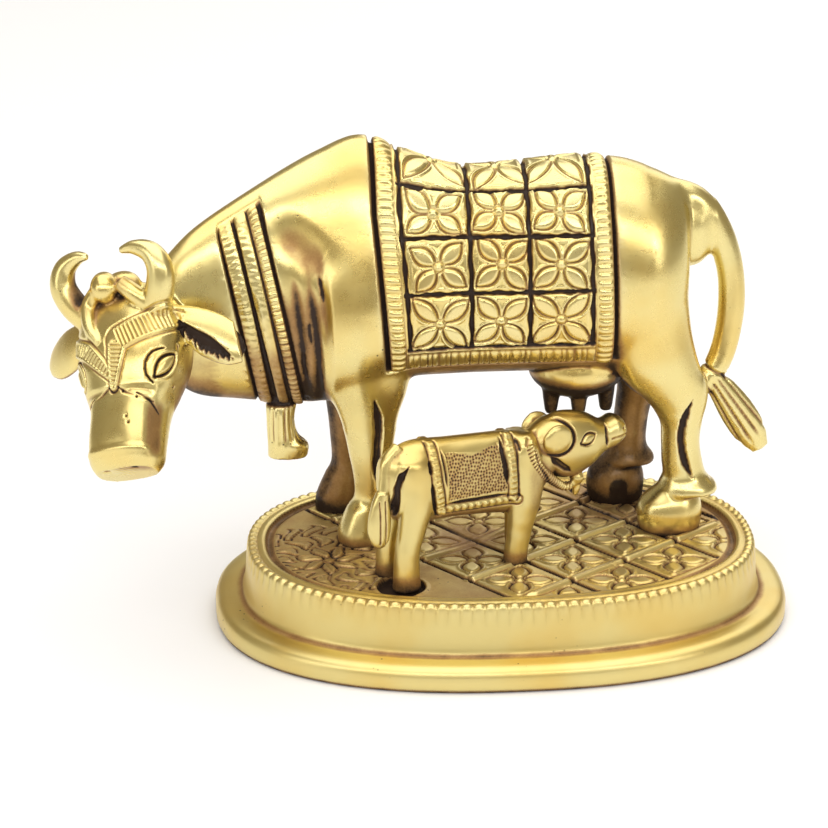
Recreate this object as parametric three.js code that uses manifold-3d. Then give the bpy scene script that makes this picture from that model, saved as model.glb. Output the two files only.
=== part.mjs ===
// A small cast brass cow with her calf on an oval stepped plinth, in millimetres, +Z up.
// The origin is the middle of the plinth's underside. The cow faces -X and her left side is the -Y side.
import * as THREE from 'three';
import { ParametricGeometry } from 'three/addons/geometries/ParametricGeometry.js';
import { mergeVertices } from 'three/addons/utils/BufferGeometryUtils.js';
import Module from 'manifold-3d';

const wasm = await Module();
wasm.setup();

// Plinth: every outline is a superellipse, and each step is the flange's outline drawn in by an inset.
const FLANGE_HALF_LENGTH = 55;
const FLANGE_HALF_DEPTH = 38.7;
const OVAL_POWER = 2.34;
const FLANGE_HEIGHT = 4.9;
const DRUM_INSET = 6.1;
const DRUM_FLARE = 0.7;
const RIM_HEIGHT = 14.7;
const RIM_WIDTH = 4;
const RIM_GROOVE = 1;
const FLOOR_HEIGHT = 14.1;
const PLINTH_SIDES = 64;
// The plinth's section from the underside to the floor: inset from the flange's outline, z
const PLINTH_PROFILE = [
  [0.7, 0],
  [0, 0.7],
  [0, FLANGE_HEIGHT - 1.3],
  [0.5, FLANGE_HEIGHT - 0.4],
  [1.6, FLANGE_HEIGHT],
  [DRUM_INSET - DRUM_FLARE - 0.9, FLANGE_HEIGHT + 0.1],
  [DRUM_INSET - DRUM_FLARE, FLANGE_HEIGHT + 1],
  [DRUM_INSET - 0.1, RIM_HEIGHT - 0.6],
  [DRUM_INSET + 0.4, RIM_HEIGHT],
  [DRUM_INSET + RIM_WIDTH, RIM_HEIGHT],
  [DRUM_INSET + RIM_WIDTH + RIM_GROOVE / 2, FLOOR_HEIGHT - RIM_GROOVE],
  [DRUM_INSET + RIM_WIDTH + RIM_GROOVE, FLOOR_HEIGHT],
];

// Hooves stand this far above the floor, so that the castings stay apart.
const SEAM_GAP = 0.3;
const HOOF_BASE = FLOOR_HEIGHT + SEAM_GAP;

// Relief that stands proud of the cow's skin.
const BLANKET_THICKNESS = 0.9;
const BAND_THICKNESS = 0.7;
const TILE_GROOVE = 0.9;

// Body and neck, from the back of the head to the rump. Sections are superellipses of this power.
const BODY_POWER = 2.15;
// x, middle y, top z, bottom z, half width, narrowing towards the top
const COW_BODY = [
  [-64, 2.5, 70.5, 50.0, 5.0, 0.1],
  [-58, 5.0, 76.0, 44.4, 7.0, 0.15],
  [-50, 7.5, 80.8, 42.2, 8.6, 0.2],
  [-42, 9.5, 85.2, 40.8, 10.6, 0.25],
  [-34, 10.5, 89.3, 40.4, 12.6, 0.3],
  [-26, 10.5, 92.2, 42.0, 13.8, 0.38],
  [-18, 10.5, 89.0, 45.0, 14.0, 0.3],
  [-8, 10.5, 85.6, 45.4, 13.8, 0.15],
  [3, 10.5, 85.8, 45.4, 14.2, 0.1],
  [14, 10.5, 86.8, 45.4, 14.4, 0.12],
  [23, 10.5, 86.4, 45.0, 14.0, 0.15],
  [29.5, 10.5, 84.2, 45.5, 13.0, 0.15],
  [33.6, 10.5, 82.0, 48.0, 10.6, 0.1],
  [35.6, 10.5, 79.0, 53.0, 7.6, 0],
];

// Legs are stacks of level ovals. z, x, y, half length, half depth
const LEG_POWER = 2.2;
const NEAR_FRONT_LEG = [
  [64, -25.5, 4.0, 8.5, 5.0],
  [52, -25.5, 3.4, 8.0, 5.4],
  [45, -25.2, 2.9, 7.6, 5.0],
  [40, -25.2, 2.6, 5.9, 4.5],
  [36, -25.0, 2.4, 4.9, 4.0],
  [32, -24.9, 2.3, 4.2, 3.7],
  [27, -24.9, 2.2, 3.3, 3.2],
  [23, -25.2, 2.2, 2.9, 3.0],
  [20.5, -26.2, 2.0, 3.4, 3.7],
  [16.5, -26.9, 1.8, 4.3, 4.5],
  [HOOF_BASE, -27.0, 1.8, 4.3, 4.6],
];
const FAR_FRONT_LEG = [
  [60, -26, 17.0, 8.0, 5.0],
  [48, -27, 17.8, 7.0, 5.0],
  [42, -28, 18.2, 5.3, 4.6],
  [36, -28.3, 18.4, 4.0, 4.0],
  [30, -28.4, 18.5, 3.3, 3.5],
  [24, -28.4, 18.5, 3.0, 3.1],
  [21, -29.2, 18.2, 3.6, 3.3],
  [17, -30.2, 17.8, 4.3, 3.5],
  [HOOF_BASE, -30.4, 17.7, 4.3, 3.5],
];
const NEAR_HIND_LEG = [
  [64, 27, 5.2, 8.4, 6.4],
  [55, 27.6, 4.4, 8.8, 6.6],
  [48, 29.6, 3.8, 8.4, 6.2],
  [43.5, 32, 3.5, 7.7, 5.2],
  [40, 34, 3.5, 5.8, 4.6],
  [36, 34.9, 3.5, 4.1, 4.0],
  [32, 34.9, 3.5, 3.7, 3.7],
  [28, 35.3, 3.5, 3.9, 3.7],
  [24.5, 36.1, 3.5, 4.7, 4.2],
  [21.4, 36.6, 3.5, 5.5, 4.9],
];
const NEAR_HIND_HOOF = [
  [26, 34.6, 3.4, 3.0, 3.0],
  [21.5, 34.0, 3.2, 5.0, 4.4],
  [18, 33.1, 3.0, 6.2, 5.0],
  [HOOF_BASE, 33.1, 3.0, 5.6, 4.8],
];
const FAR_HIND_LEG = [
  [62, 27, 16.4, 8.6, 6.4],
  [52, 28, 17.2, 8.4, 6.4],
  [45, 29.2, 17.8, 7.2, 5.6],
  [39, 29.2, 18.2, 4.6, 4.4],
  [34, 28.0, 18.4, 3.5, 3.6],
  [28, 27.3, 18.6, 3.4, 3.5],
  [24, 27.2, 18.7, 3.9, 3.9],
  [22, 27.2, 18.7, 4.6, 4.4],
];
const FAR_HIND_HOOF = [
  [26, 26.4, 18.7, 3.0, 3.0],
  [22, 25.6, 18.7, 4.7, 4.3],
  [18, 24.8, 18.6, 5.6, 4.7],
  [HOOF_BASE, 24.9, 18.6, 5.2, 4.5],
];

// Udder: an egg under the flank, with four teats. x, y, length
const UDDER = { at: [15.5, 10, 45.5], half: [9.5, 8.5, 6.0] };
const TEATS = [[10.4, 8.4, 5.2], [15.6, 7.2, 5.4], [21.2, 9.6, 5.4], [15.6, 14, 4.6]];
const TEAT_RADIUS = 1.9;
// How far the teats' roots stand inside the udder
const TEAT_ROOT = 2;
// How thick a teat is at its middle, near its tip and at its tip, as shares of its radius
const TEAT_TAPER = [0.75, 0.6, 0.4];
const TEAT_TIP = 0.5;

// Tail: a round rod from the rump that comes back to the hock, then a flat tuft of hair.
// x, y, z, half width, half thickness
const TAIL = [
  [31, 10.5, 80.0, 3.0, 3.0],
  [37.6, 10.5, 77.6, 3.1, 3.1],
  [41.9, 10.4, 71.8, 2.9, 2.9],
  [44.4, 10.0, 65.0, 2.6, 2.6],
  [45.0, 9.4, 57.5, 2.6, 2.6],
  [44.0, 8.6, 50.0, 2.5, 2.5],
  [41.9, 7.6, 44.9, 2.4, 2.4],
  [38.5, 6.8, 41.0, 2.2, 2.2],
];
// Thickening where the tail leaves the rump
const TAIL_HEAD = { at: [37.2, 10.5, 72.0], half: [4.2, 4.4, 7.4] };
const TAIL_TUFT = [
  [41.0, 7.4, 44.0, 1.9, 1.8],
  [43.4, 7.4, 40.5, 2.5, 1.9],
  [46.4, 7.4, 36.0, 3.1, 1.9],
  [49.2, 7.4, 31.8, 2.9, 1.6],
  [51.6, 7.4, 28.2, 1.1, 0.9],
];

// Head, in its own axes: +x along the face to the muzzle, +y to the cow's left, +z out of the forehead.
const HEAD = { at: [-69.3, -1.0, 64.0], turn: 64, nod: 50, tilt: 17 };
// x, top z, bottom z, half width
const SKULL_POWER = 2.5;
const SKULL = [
  [-3, 3.5, -7.0, 6.0],
  [1, 5.6, -10.0, 9.0],
  [6, 6.4, -11.0, 10.4],
  [12, 6.0, -11.0, 10.2],
  [17, 4.8, -9.8, 8.6],
  [21, 4.2, -8.4, 7.4],
  [27, 4.2, -7.2, 7.2],
  [30.5, 3.4, -6.6, 7.1],
  [32.5, 1.4, -5.4, 6.0],
];
const HORN = [
  [3, 6.8, 2.5, 2.7],
  [0.5, 9.2, 5.0, 2.7],
  [-2.6, 10.4, 7.2, 2.5],
  [-5.4, 9.2, 8.8, 2.1],
  [-6.6, 6.2, 9.8, 1.4],
  [-6.2, 3.4, 10.4, 0.6],
];
const TOPKNOT = { at: [-1.2, -0.2, 6.6], half: [3.6, 3.0, 3.0] };
const EAR = [
  [3.0, 7.5, -1.0, 2.2, 1.8],
  [4.8, 12.0, -2.5, 3.4, 1.8],
  [7.2, 15.6, -4.2, 4.2, 1.7],
  [9.4, 19.0, -6.0, 3.0, 1.2],
  [10.4, 20.8, -7.0, 1.0, 0.6],
];
// The far ear is carried higher than the near one: it keeps this share of the near one's droop.
const FAR_EAR_DROOP = 0.5;

// Straps round the neck: x where each crosses the nape, and x where it crosses the throat
const NECK_BANDS = [[-53.5, -48.5], [-50.6, -45.4], [-47.7, -42.3], [-44.8, -39.2]];
const NECK_HEIGHTS = [42, 82];
const BAND_WIDTH = 2.1;
// Fluted pendant that hangs in front of the chest. z, x, y, half length, half depth
const PENDANT = [
  [47, -41.2, 6.4, 2.6, 2.4],
  [42.5, -41.2, 6.2, 2.8, 2.4],
  [37, -41.8, 6.0, 2.3, 2.2],
  [33.4, -41.6, 6.0, 2.5, 2.4],
  [31.9, -40.6, 6.0, 3.4, 2.6],
  [30.8, -40.6, 6.0, 3.1, 2.4],
];

// Blanket: columns and rows of tiles with deep grooves between them. Its left and right edges are given at
// the height `middle`, and lean along X by so much for each millimetre of height.
const BLANKET = {
  left: -22.9,
  right: 19.3,
  bottom: 50.4,
  hem: 1,
  border: 2.6,
  leanLeft: -0.106,
  leanRight: -0.044,
  middle: 72,
};
const BLANKET_COLUMNS = [-18.3, -5.6, 6.0, 16.6];
const BLANKET_ROWS = [54.4, 64.5, 75.6, 84.6];

// Calf, in its own axes: +x to its nose, +y to its left, z up from the ground; CALF_AT is below its rump.
const CALF_AT = [-21.9, -17.7, 0];
const CALF_TURN = 24;
const CALF_BODY = [
  [-2.6, 0, 39.0, 30.0, 2.6, 0],
  [-0.5, 0, 40.2, 26.8, 4.2, 0.1],
  [4, 0, 41.4, 25.4, 5.0, 0.15],
  [11, 0, 40.7, 25.0, 4.9, 0.1],
  [18, 0, 40.1, 24.2, 4.8, 0.1],
  [24, 0, 39.6, 23.4, 4.6, 0.15],
  [28.5, 0, 38.8, 24.4, 4.2, 0.2],
  [31.5, 0, 39.2, 28.0, 3.7, 0.2],
  [34.5, 0, 39.8, 30.5, 3.4, 0.1],
];
const CALF_HEAD = [
  [29, 0, 38.8, 33.0, 3.0, 0],
  [32.5, 0, 40.6, 29.4, 4.2, 0],
  [36.5, 0, 41.0, 27.8, 4.7, 0],
  [41, 0, 40.0, 28.8, 4.1, 0],
  [45, 0, 38.4, 30.8, 3.2, 0],
  [47.6, 0, 37.8, 31.6, 3.0, 0],
  [49.2, 0, 37.0, 32.8, 2.4, 0],
];
const CALF_HIND_LEG = [
  [38, 2.6, 2.4, 3.6, 2.2],
  [33, 2.9, 2.9, 3.4, 2.4],
  [29, 2.7, 3.2, 3.0, 2.4],
  [25, 1.8, 3.3, 2.5, 2.2],
  [21, 0.8, 3.4, 2.1, 2.0],
  [17.5, 0.6, 3.4, 2.3, 2.1],
  [HOOF_BASE, 0.7, 3.4, 2.7, 2.4],
];
const CALF_FRONT_LEG = [
  [37, 26.4, 2.4, 2.8, 2.0],
  [31, 26.4, 2.8, 2.9, 2.2],
  [26, 25.9, 3.1, 2.5, 2.1],
  [21, 25.0, 3.2, 2.2, 2.0],
  [17, 24.3, 3.3, 2.1, 2.0],
  [HOOF_BASE, 24.0, 3.3, 2.3, 2.1],
];
// How far ahead of the near one the far front leg stands
const CALF_STRIDE = 4.5;
const CALF_TAIL = [
  [0.5, -0.4, 41.0, 1.1, 1.1],
  [-2.2, -0.8, 38.6, 1.1, 1.1],
  [-3.0, -1.4, 35.6, 1.1, 1.1],
  [-3.6, -2.0, 32.2, 1.2, 1.1],
];
const CALF_TUFT = [
  [-3.6, -2.0, 33.2, 1.3, 1.2],
  [-4.2, -2.2, 30.4, 2.0, 1.3],
  [-4.6, -2.4, 26.6, 2.4, 1.3],
  [-4.5, -2.4, 24.0, 1.9, 1.2],
  [-4.4, -2.4, 22.6, 0.8, 0.7],
];
const CALF_EAR = { at: [34.4, 4.2, 35.4], half: [3.2, 1.0, 3.1], droop: 2 };
// Rope round the calf's neck: x and z of its highest and lowest points, and its half width across the neck
const CALF_ROPE = { top: [29.6, 41.0], bottom: [37.4, 26.6], halfWidth: 4.2, radius: 1.0 };
const CALF_BELL = { at: [39.2, -0.5, 25.2], radius: 1.9 };
const CALF_LEG_FACETS = { slices: 8, rows: 5 };
const CALF_BLANKET = { back: 7.2, front: 26.0, bottom: 26.2, thickness: 0.6 };

// Further than any point of the casting
const REACH = 120;

const TAU = 2 * Math.PI;
const rad = THREE.MathUtils.degToRad;
const Y = new THREE.Vector3(0, 1, 0);
const Z = new THREE.Vector3(0, 0, 1);

// The point of a superellipse at an angle
function oval(angle, halfLength, halfDepth, power) {
  const c = Math.cos(angle);
  const s = Math.sin(angle);
  return [
    halfLength * Math.sign(c) * Math.abs(c) ** (2 / power),
    halfDepth * Math.sign(s) * Math.abs(s) ** (2 / power),
  ];
}

// Turns a closed geometry into a solid that can be joined and cut, with its faces pointing out.
function solid(geometry) {
  const bare = geometry.clone();
  bare.deleteAttribute('normal');
  bare.deleteAttribute('uv');
  const merged = mergeVertices(bare, 1e-4);
  const points = merged.attributes.position.array;
  const index = merged.index.array;
  const faces = [];
  let volume = 0;
  const a = new THREE.Vector3();
  const b = new THREE.Vector3();
  const c = new THREE.Vector3();
  for (let i = 0; i < index.length; i += 3) {
    const [p, q, r] = [index[i], index[i + 1], index[i + 2]];
    if (p !== q && q !== r && r !== p) {
      faces.push(p, q, r);
      a.fromArray(points, 3 * p);
      b.fromArray(points, 3 * q);
      c.fromArray(points, 3 * r);
      volume += a.dot(b.cross(c));
    }
  }
  if (volume < 0) {
    faces.reverse();
  }
  return new wasm.Manifold(new wasm.Mesh({
    numProp: 3,
    vertProperties: new Float32Array(points),
    triVerts: new Uint32Array(faces),
  }));
}

// A closed grid: the first and last rows shrink to their middles, so the ends are flat caps.
function capped(pointAt, slices, rows) {
  const stacks = rows + 2;
  const place = (u, v, target) => {
    const row = Math.round(v * stacks);
    const cap = row === 0 || row === stacks;
    const along = THREE.MathUtils.clamp((row - 1) / rows, 0, 1);
    pointAt(u * TAU, along, cap ? 0 : 1, target);
  };
  return solid(new ParametricGeometry(place, slices, stacks));
}

// Smooth values between stations that are spaced evenly along a part
function blend(rows) {
  const curves = [];
  for (let k = 0; k < rows[0].length; k += 3) {
    const part = (row) => new THREE.Vector3(row[k], row[k + 1] ?? 0, row[k + 2] ?? 0);
    curves.push(new THREE.CatmullRomCurve3(rows.map(part), false, 'catmullrom', 0.5));
  }
  return (t) => curves.flatMap((curve) => curve.getPoint(t).toArray());
}

// A trunk whose sections are upright: each is a rounded outline between a top and a bottom line.
function trunk(stations, { grow = 0, slices = 18, rows = 19, power = BODY_POWER } = {}) {
  const at = blend(stations);
  return capped((angle, t, full, target) => {
    const [x, y, top, bottom, half, narrowing] = at(t);
    const high = (top - bottom) / 2 + grow;
    const [across, up] = oval(angle, half + grow, high, power);
    const width = across * (1 - narrowing * up / high);
    target.set(x, y + width * full, (top + bottom) / 2 + up * full);
  }, slices, rows);
}

// A stack of level ovals, for legs and hooves
function stack(stations, { slices = 9, rows = 9 } = {}) {
  const at = blend(stations);
  return capped((angle, t, full, target) => {
    const [z, x, y, halfLength, halfDepth] = at(t);
    const [across, deep] = oval(angle, halfLength * full, halfDepth * full, LEG_POWER);
    target.set(x + across, y + deep, z);
  }, slices, rows);
}

// A rod carried along a curve, its sections square to the curve and their width square to `flat`
function rod(stations, flat, { slices = 8, rows = 14 } = {}) {
  const at = blend(stations);
  const line = new THREE.CatmullRomCurve3(
    stations.map((row) => new THREE.Vector3(...row)), false, 'catmullrom', 0.5);
  return capped((angle, t, full, target) => {
    const [, , , width, thickness] = at(t);
    const tangent = line.getTangent(t);
    const side = flat.clone().cross(tangent).normalize();
    const face = tangent.clone().cross(side);
    const [across, out] = oval(angle, width * full, (thickness || width) * full, 2);
    target.copy(line.getPoint(t)).addScaledVector(side, across).addScaledVector(face, out);
  }, slices, rows);
}

function egg({ at, half }, slices = 10, rings = 8) {
  const geometry = new THREE.SphereGeometry(1, slices, rings);
  geometry.scale(...half);
  geometry.translate(...at);
  return solid(geometry);
}

// A slab that reaches right through the casting along Y, between two x and two z values. It is leaned
// along X by `lean` for each millimetre of height above `middle`.
function slab([left, right], [bottom, top], lean = 0, middle = 0) {
  const geometry = new THREE.BoxGeometry(right - left, 2 * REACH, top - bottom);
  geometry.translate((left + right) / 2, 0, (bottom + top) / 2);
  const points = geometry.attributes.position;
  for (let i = 0; i < points.count; i += 1) {
    points.setX(i, points.getX(i) + lean * (points.getZ(i) - middle));
  }
  return solid(geometry);
}

function union(parts) {
  return parts.reduce((whole, part) => whole.add(part));
}

function moved(body, matrix) {
  return body.transform(matrix.toArray());
}

// The plinth is a pile of ovals: underside, flange, drum wall, rim, groove and sunk floor.
function plinth() {
  const last = PLINTH_PROFILE.length - 1;
  const stacks = last + 2;
  const place = (u, v, target) => {
    const row = Math.round(v * stacks);
    const [inset, z] = PLINTH_PROFILE[THREE.MathUtils.clamp(row - 1, 0, last)];
    const full = row === 0 || row === stacks ? 0 : 1;
    const [x, y] = oval(u * TAU, FLANGE_HALF_LENGTH - inset, FLANGE_HALF_DEPTH - inset, OVAL_POWER);
    target.set(x * full, y * full, z);
  };
  return solid(new ParametricGeometry(place, PLINTH_SIDES, stacks));
}

// The cow's blanket: a thicker skin over the back, cut to its slanted edges and grooved into tiles.
function cowBlanket() {
  const { left, right, bottom, hem, border, leanLeft, leanRight, middle } = BLANKET;
  const heights = [bottom, REACH];
  let cloth = trunk(COW_BODY, { grow: BLANKET_THICKNESS })
    .intersect(slab([left, REACH], heights, leanLeft, middle))
    .intersect(slab([-REACH, right], heights, leanRight, middle));
  const half = TILE_GROOVE / 2;
  BLANKET_COLUMNS.forEach((x, k) => {
    const lean = THREE.MathUtils.lerp(leanLeft, leanRight, k / (BLANKET_COLUMNS.length - 1));
    cloth = cloth.subtract(slab([x - half, x + half], [bottom + hem, REACH], lean, middle));
  });
  for (const z of BLANKET_ROWS) {
    cloth = cloth.subtract(slab([left + border, right - border], [z - half, z + half]));
  }
  return cloth;
}

// Straps round the neck: slices of a slightly thicker neck
function neckBands() {
  const thick = trunk(COW_BODY, { grow: BAND_THICKNESS });
  const [throat, nape] = NECK_HEIGHTS;
  return NECK_BANDS.map(([high, low]) => {
    const lean = (high - low) / (nape - throat);
    const [x, half] = [(high + low) / 2, BAND_WIDTH / 2];
    return thick.intersect(slab([x - half, x + half], [0, REACH], lean, (nape + throat) / 2));
  });
}

function cowHead() {
  const skull = trunk(SKULL.map(([x, top, bottom, half]) => [x, 0, top, bottom, half, 0]),
    { slices: 12, rows: 11, power: SKULL_POWER });
  const parts = [skull, egg(TOPKNOT, 8, 5)];
  for (const side of [1, -1]) {
    const flip = (row) => [row[0], row[1] * side, ...row.slice(2)];
    parts.push(rod(HORN.map(flip), Z, { slices: 6, rows: 8 }));
    const droop = side > 0 ? 1 : FAR_EAR_DROOP;
    const ear = EAR.map(([x, ...rest]) => flip([EAR[0][0] + (x - EAR[0][0]) * droop, ...rest]));
    parts.push(rod(ear, Z, { slices: 8, rows: 5 }));
  }
  const place = new THREE.Matrix4().makeTranslation(...HEAD.at)
    .multiply(new THREE.Matrix4().makeRotationZ(rad(180 + HEAD.turn)))
    .multiply(new THREE.Matrix4().makeRotationX(rad(HEAD.tilt)))
    .multiply(new THREE.Matrix4().makeRotationY(rad(HEAD.nod)));
  return moved(union(parts), place);
}

function udder() {
  const bag = egg(UDDER);
  const [, , z] = UDDER.at;
  const root = z - UDDER.half[2] + TEAT_ROOT;
  const radii = [1, ...TEAT_TAPER].map((share) => share * TEAT_RADIUS);
  return TEATS.reduce((whole, [x, y, length]) => {
    const heights = [root + 1, root - length / 2, root - length + TEAT_TIP, root - length];
    const rows = heights.map((height, k) => [height, x, y, radii[k], radii[k]]);
    return whole.add(stack(rows, { slices: 6, rows: 3 }));
  }, bag);
}

function cow() {
  return union([
    trunk(COW_BODY),
    cowBlanket(),
    ...neckBands(),
    stack(NEAR_FRONT_LEG),
    stack(FAR_FRONT_LEG),
    stack(NEAR_HIND_LEG),
    stack(NEAR_HIND_HOOF, { rows: 5 }),
    stack(FAR_HIND_LEG),
    stack(FAR_HIND_HOOF, { rows: 5 }),
    udder(),
    egg(TAIL_HEAD, 8, 6),
    rod(TAIL, Y, { slices: 7, rows: 12 }),
    rod(TAIL_TUFT, Y, { slices: 7, rows: 6 }),
    stack(PENDANT, { slices: 8, rows: 7 }),
    cowHead(),
  ]);
}

function calf() {
  const { back, front, bottom, thickness } = CALF_BLANKET;
  const cloth = trunk(CALF_BODY, { grow: thickness, slices: 12, rows: 12 })
    .intersect(slab([back, front], [bottom, REACH]));
  const nearSide = (rows) => rows.map(([z, x, y, ...half]) => [z, x, -y, ...half]);
  const shoulder = CALF_FRONT_LEG[0][0];
  const stride = CALF_STRIDE / (shoulder - HOOF_BASE);
  const ahead = (rows) => rows.map(([z, x, ...rest]) => [z, x + stride * (shoulder - z), ...rest]);
  const { top, bottom: low, halfWidth, radius } = CALF_ROPE;
  const collarMiddle = [(top[0] + low[0]) / 2, 0, (top[1] + low[1]) / 2];
  const collarHeight = Math.hypot(top[0] - low[0], top[1] - low[1]) / 2;
  const collar = new THREE.TorusGeometry(1, radius / collarHeight, 5, 14);
  collar.rotateY(Math.PI / 2);
  collar.scale(collarHeight, halfWidth, collarHeight);
  collar.rotateY(-Math.atan2(low[0] - top[0], top[1] - low[1]));
  collar.translate(...collarMiddle);
  const ears = [1, -1].map((side) => egg({
    at: [CALF_EAR.at[0], CALF_EAR.at[1] * side, CALF_EAR.at[2] - (side > 0 ? CALF_EAR.droop : 0)],
    half: CALF_EAR.half,
  }, 8, 5));
  return union([
    trunk(CALF_BODY, { slices: 12, rows: 12 }),
    trunk(CALF_HEAD, { slices: 10, rows: 9 }),
    cloth,
    stack(CALF_HIND_LEG, CALF_LEG_FACETS),
    stack(nearSide(CALF_HIND_LEG), CALF_LEG_FACETS),
    stack(ahead(CALF_FRONT_LEG), CALF_LEG_FACETS),
    stack(nearSide(CALF_FRONT_LEG), CALF_LEG_FACETS),
    rod(CALF_TAIL, Y, { slices: 6, rows: 5 }),
    rod(CALF_TUFT, Y, { slices: 6, rows: 5 }),
    solid(collar),
    egg({ at: CALF_BELL.at, half: [CALF_BELL.radius, CALF_BELL.radius, CALF_BELL.radius] }, 8, 6),
    ...ears,
  ]);
}

// Polished yellow brass
function brass(name, tint) {
  const material = new THREE.MeshStandardMaterial({ color: tint, roughness: 0.28, metalness: 1 });
  material.name = name;
  return material;
}

function casting(name, body, tint) {
  const mesh = body.getMesh();
  const geometry = new THREE.BufferGeometry();
  geometry.setAttribute('position', new THREE.BufferAttribute(new Float32Array(mesh.vertProperties), 3));
  geometry.setIndex(new THREE.BufferAttribute(new Uint32Array(mesh.triVerts), 1));
  geometry.computeVertexNormals();
  const piece = new THREE.Mesh(geometry, brass(`${name} brass`, tint));
  piece.name = name;
  return piece;
}

const statue = new THREE.Group();
statue.add(casting('plinth', plinth(), 0xc9a04a));
statue.add(casting('cow', cow(), 0xcaa24c));
const calfPiece = casting('calf', calf(), 0xc69c45);
calfPiece.position.set(...CALF_AT);
calfPiece.rotation.z = rad(CALF_TURN);
statue.add(calfPiece);

export default statue;
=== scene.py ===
"""A cast brass cow with her calf on an oval plinth: the fine relief, the metal and the studio round the frame.

Shapes are worked out in millimetres, in the frame's own axes, and are put into meshes in metres. The cow
faces -X, and her left side, which the camera sees, is the -Y side.
"""

import math

import bmesh
import bpy
import numpy as np
from bpy.props import FloatProperty, FloatVectorProperty, PointerProperty
from mathutils import Matrix, Vector


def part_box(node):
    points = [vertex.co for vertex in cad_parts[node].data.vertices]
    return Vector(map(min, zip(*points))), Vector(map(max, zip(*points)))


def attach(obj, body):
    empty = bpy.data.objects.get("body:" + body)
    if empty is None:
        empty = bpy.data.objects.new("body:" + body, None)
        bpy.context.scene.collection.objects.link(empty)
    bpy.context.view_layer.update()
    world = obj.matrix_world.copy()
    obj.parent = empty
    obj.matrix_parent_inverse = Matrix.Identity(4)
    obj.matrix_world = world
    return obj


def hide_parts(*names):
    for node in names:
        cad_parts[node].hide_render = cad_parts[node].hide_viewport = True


bl_info = {
    "name": "Cow and calf statue",
    "version": (1, 0, 0),
    "blender": (4, 5, 0),
    "location": "View3D > Sidebar > Statue",
    "description": "Chased brass cow and calf on an oval plinth",
    "category": "Object",
}

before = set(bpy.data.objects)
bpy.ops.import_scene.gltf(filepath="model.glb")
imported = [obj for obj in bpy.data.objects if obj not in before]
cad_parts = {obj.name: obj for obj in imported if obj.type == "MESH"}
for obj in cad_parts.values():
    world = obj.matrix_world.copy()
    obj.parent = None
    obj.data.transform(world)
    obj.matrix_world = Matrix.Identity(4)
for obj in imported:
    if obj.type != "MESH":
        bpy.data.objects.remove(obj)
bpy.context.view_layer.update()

MM = 0.001
TAU = 2 * math.pi

# The frame's own sizes, in millimetres
PLINTH_LOW, PLINTH_HIGH = (np.array(corner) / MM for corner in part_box("plinth"))
HALF_LENGTH = float(PLINTH_HIGH[0])
HALF_DEPTH = float(PLINTH_HIGH[1])
RIM_HEIGHT = float(PLINTH_HIGH[2])
FLOOR_HEIGHT = RIM_HEIGHT - 0.6
# Hooves go this far into the floor, where the braze joins them.
HOOF_BASE = FLOOR_HEIGHT - 0.5
OVAL_POWER = 2.34

# Body and neck from the back of the head to the rump.
# x, middle y, top z, bottom z, half width, narrowing towards the top
BODY_POWER = 2.15
COW_BODY = [
    [-64, 2.5, 70.5, 50.0, 5.0, 0.1],
    [-58, 5.0, 76.0, 44.4, 7.0, 0.15],
    [-50, 7.5, 80.8, 42.2, 8.6, 0.2],
    [-42, 9.5, 85.2, 40.8, 10.6, 0.25],
    [-34, 10.5, 89.3, 40.4, 12.6, 0.3],
    [-26, 10.5, 92.2, 42.0, 13.8, 0.38],
    [-18, 10.5, 89.0, 45.0, 14.0, 0.3],
    [-8, 10.5, 85.6, 45.4, 13.8, 0.15],
    [3, 10.5, 85.8, 45.4, 14.2, 0.1],
    [14, 10.5, 86.8, 45.4, 14.4, 0.12],
    [23, 10.5, 86.4, 45.0, 14.0, 0.15],
    [29.5, 10.5, 84.2, 45.5, 13.0, 0.15],
    [33.6, 10.5, 82.0, 48.0, 10.6, 0.1],
    [35.6, 10.5, 79.0, 53.0, 7.6, 0],
]

# Legs are piles of level ovals. z, x, y, half length, half depth
LEG_POWER = 2.2
NEAR_FRONT_LEG = [
    [64, -25.5, 4.0, 8.5, 5.0],
    [52, -25.5, 3.4, 8.0, 5.4],
    [45, -25.2, 2.9, 7.6, 5.0],
    [40, -25.2, 2.6, 5.9, 4.5],
    [36, -25.0, 2.4, 4.9, 4.0],
    [32, -24.9, 2.3, 4.2, 3.7],
    [27, -24.9, 2.2, 3.3, 3.2],
    [23, -25.2, 2.2, 2.9, 3.0],
    [20.5, -26.2, 2.0, 3.4, 3.7],
    [16.5, -26.9, 1.8, 4.3, 4.5],
    [HOOF_BASE, -27.0, 1.8, 4.3, 4.6],
]
FAR_FRONT_LEG = [
    [60, -26, 17.0, 8.0, 5.0],
    [48, -27, 17.8, 7.0, 5.0],
    [42, -28, 18.2, 5.3, 4.6],
    [36, -28.3, 18.4, 4.0, 4.0],
    [30, -28.4, 18.5, 3.3, 3.5],
    [24, -28.4, 18.5, 3.0, 3.1],
    [21, -29.2, 18.2, 3.6, 3.3],
    [17, -30.2, 17.8, 4.3, 3.5],
    [HOOF_BASE, -30.4, 17.7, 4.3, 3.5],
]
NEAR_HIND_LEG = [
    [64, 27, 5.2, 8.4, 6.4],
    [55, 27.6, 4.4, 8.8, 6.6],
    [48, 29.6, 3.8, 8.4, 6.2],
    [43.5, 32, 3.5, 7.7, 5.2],
    [40, 34, 3.5, 5.8, 4.6],
    [36, 34.9, 3.5, 4.1, 4.0],
    [32, 34.9, 3.5, 3.7, 3.7],
    [28, 35.3, 3.5, 3.9, 3.7],
    [25.0, 35.9, 3.5, 4.2, 3.9],
    [23.0, 36.5, 3.5, 5.5, 4.9],
    [21.6, 36.6, 3.5, 5.8, 5.2],
]
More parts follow.
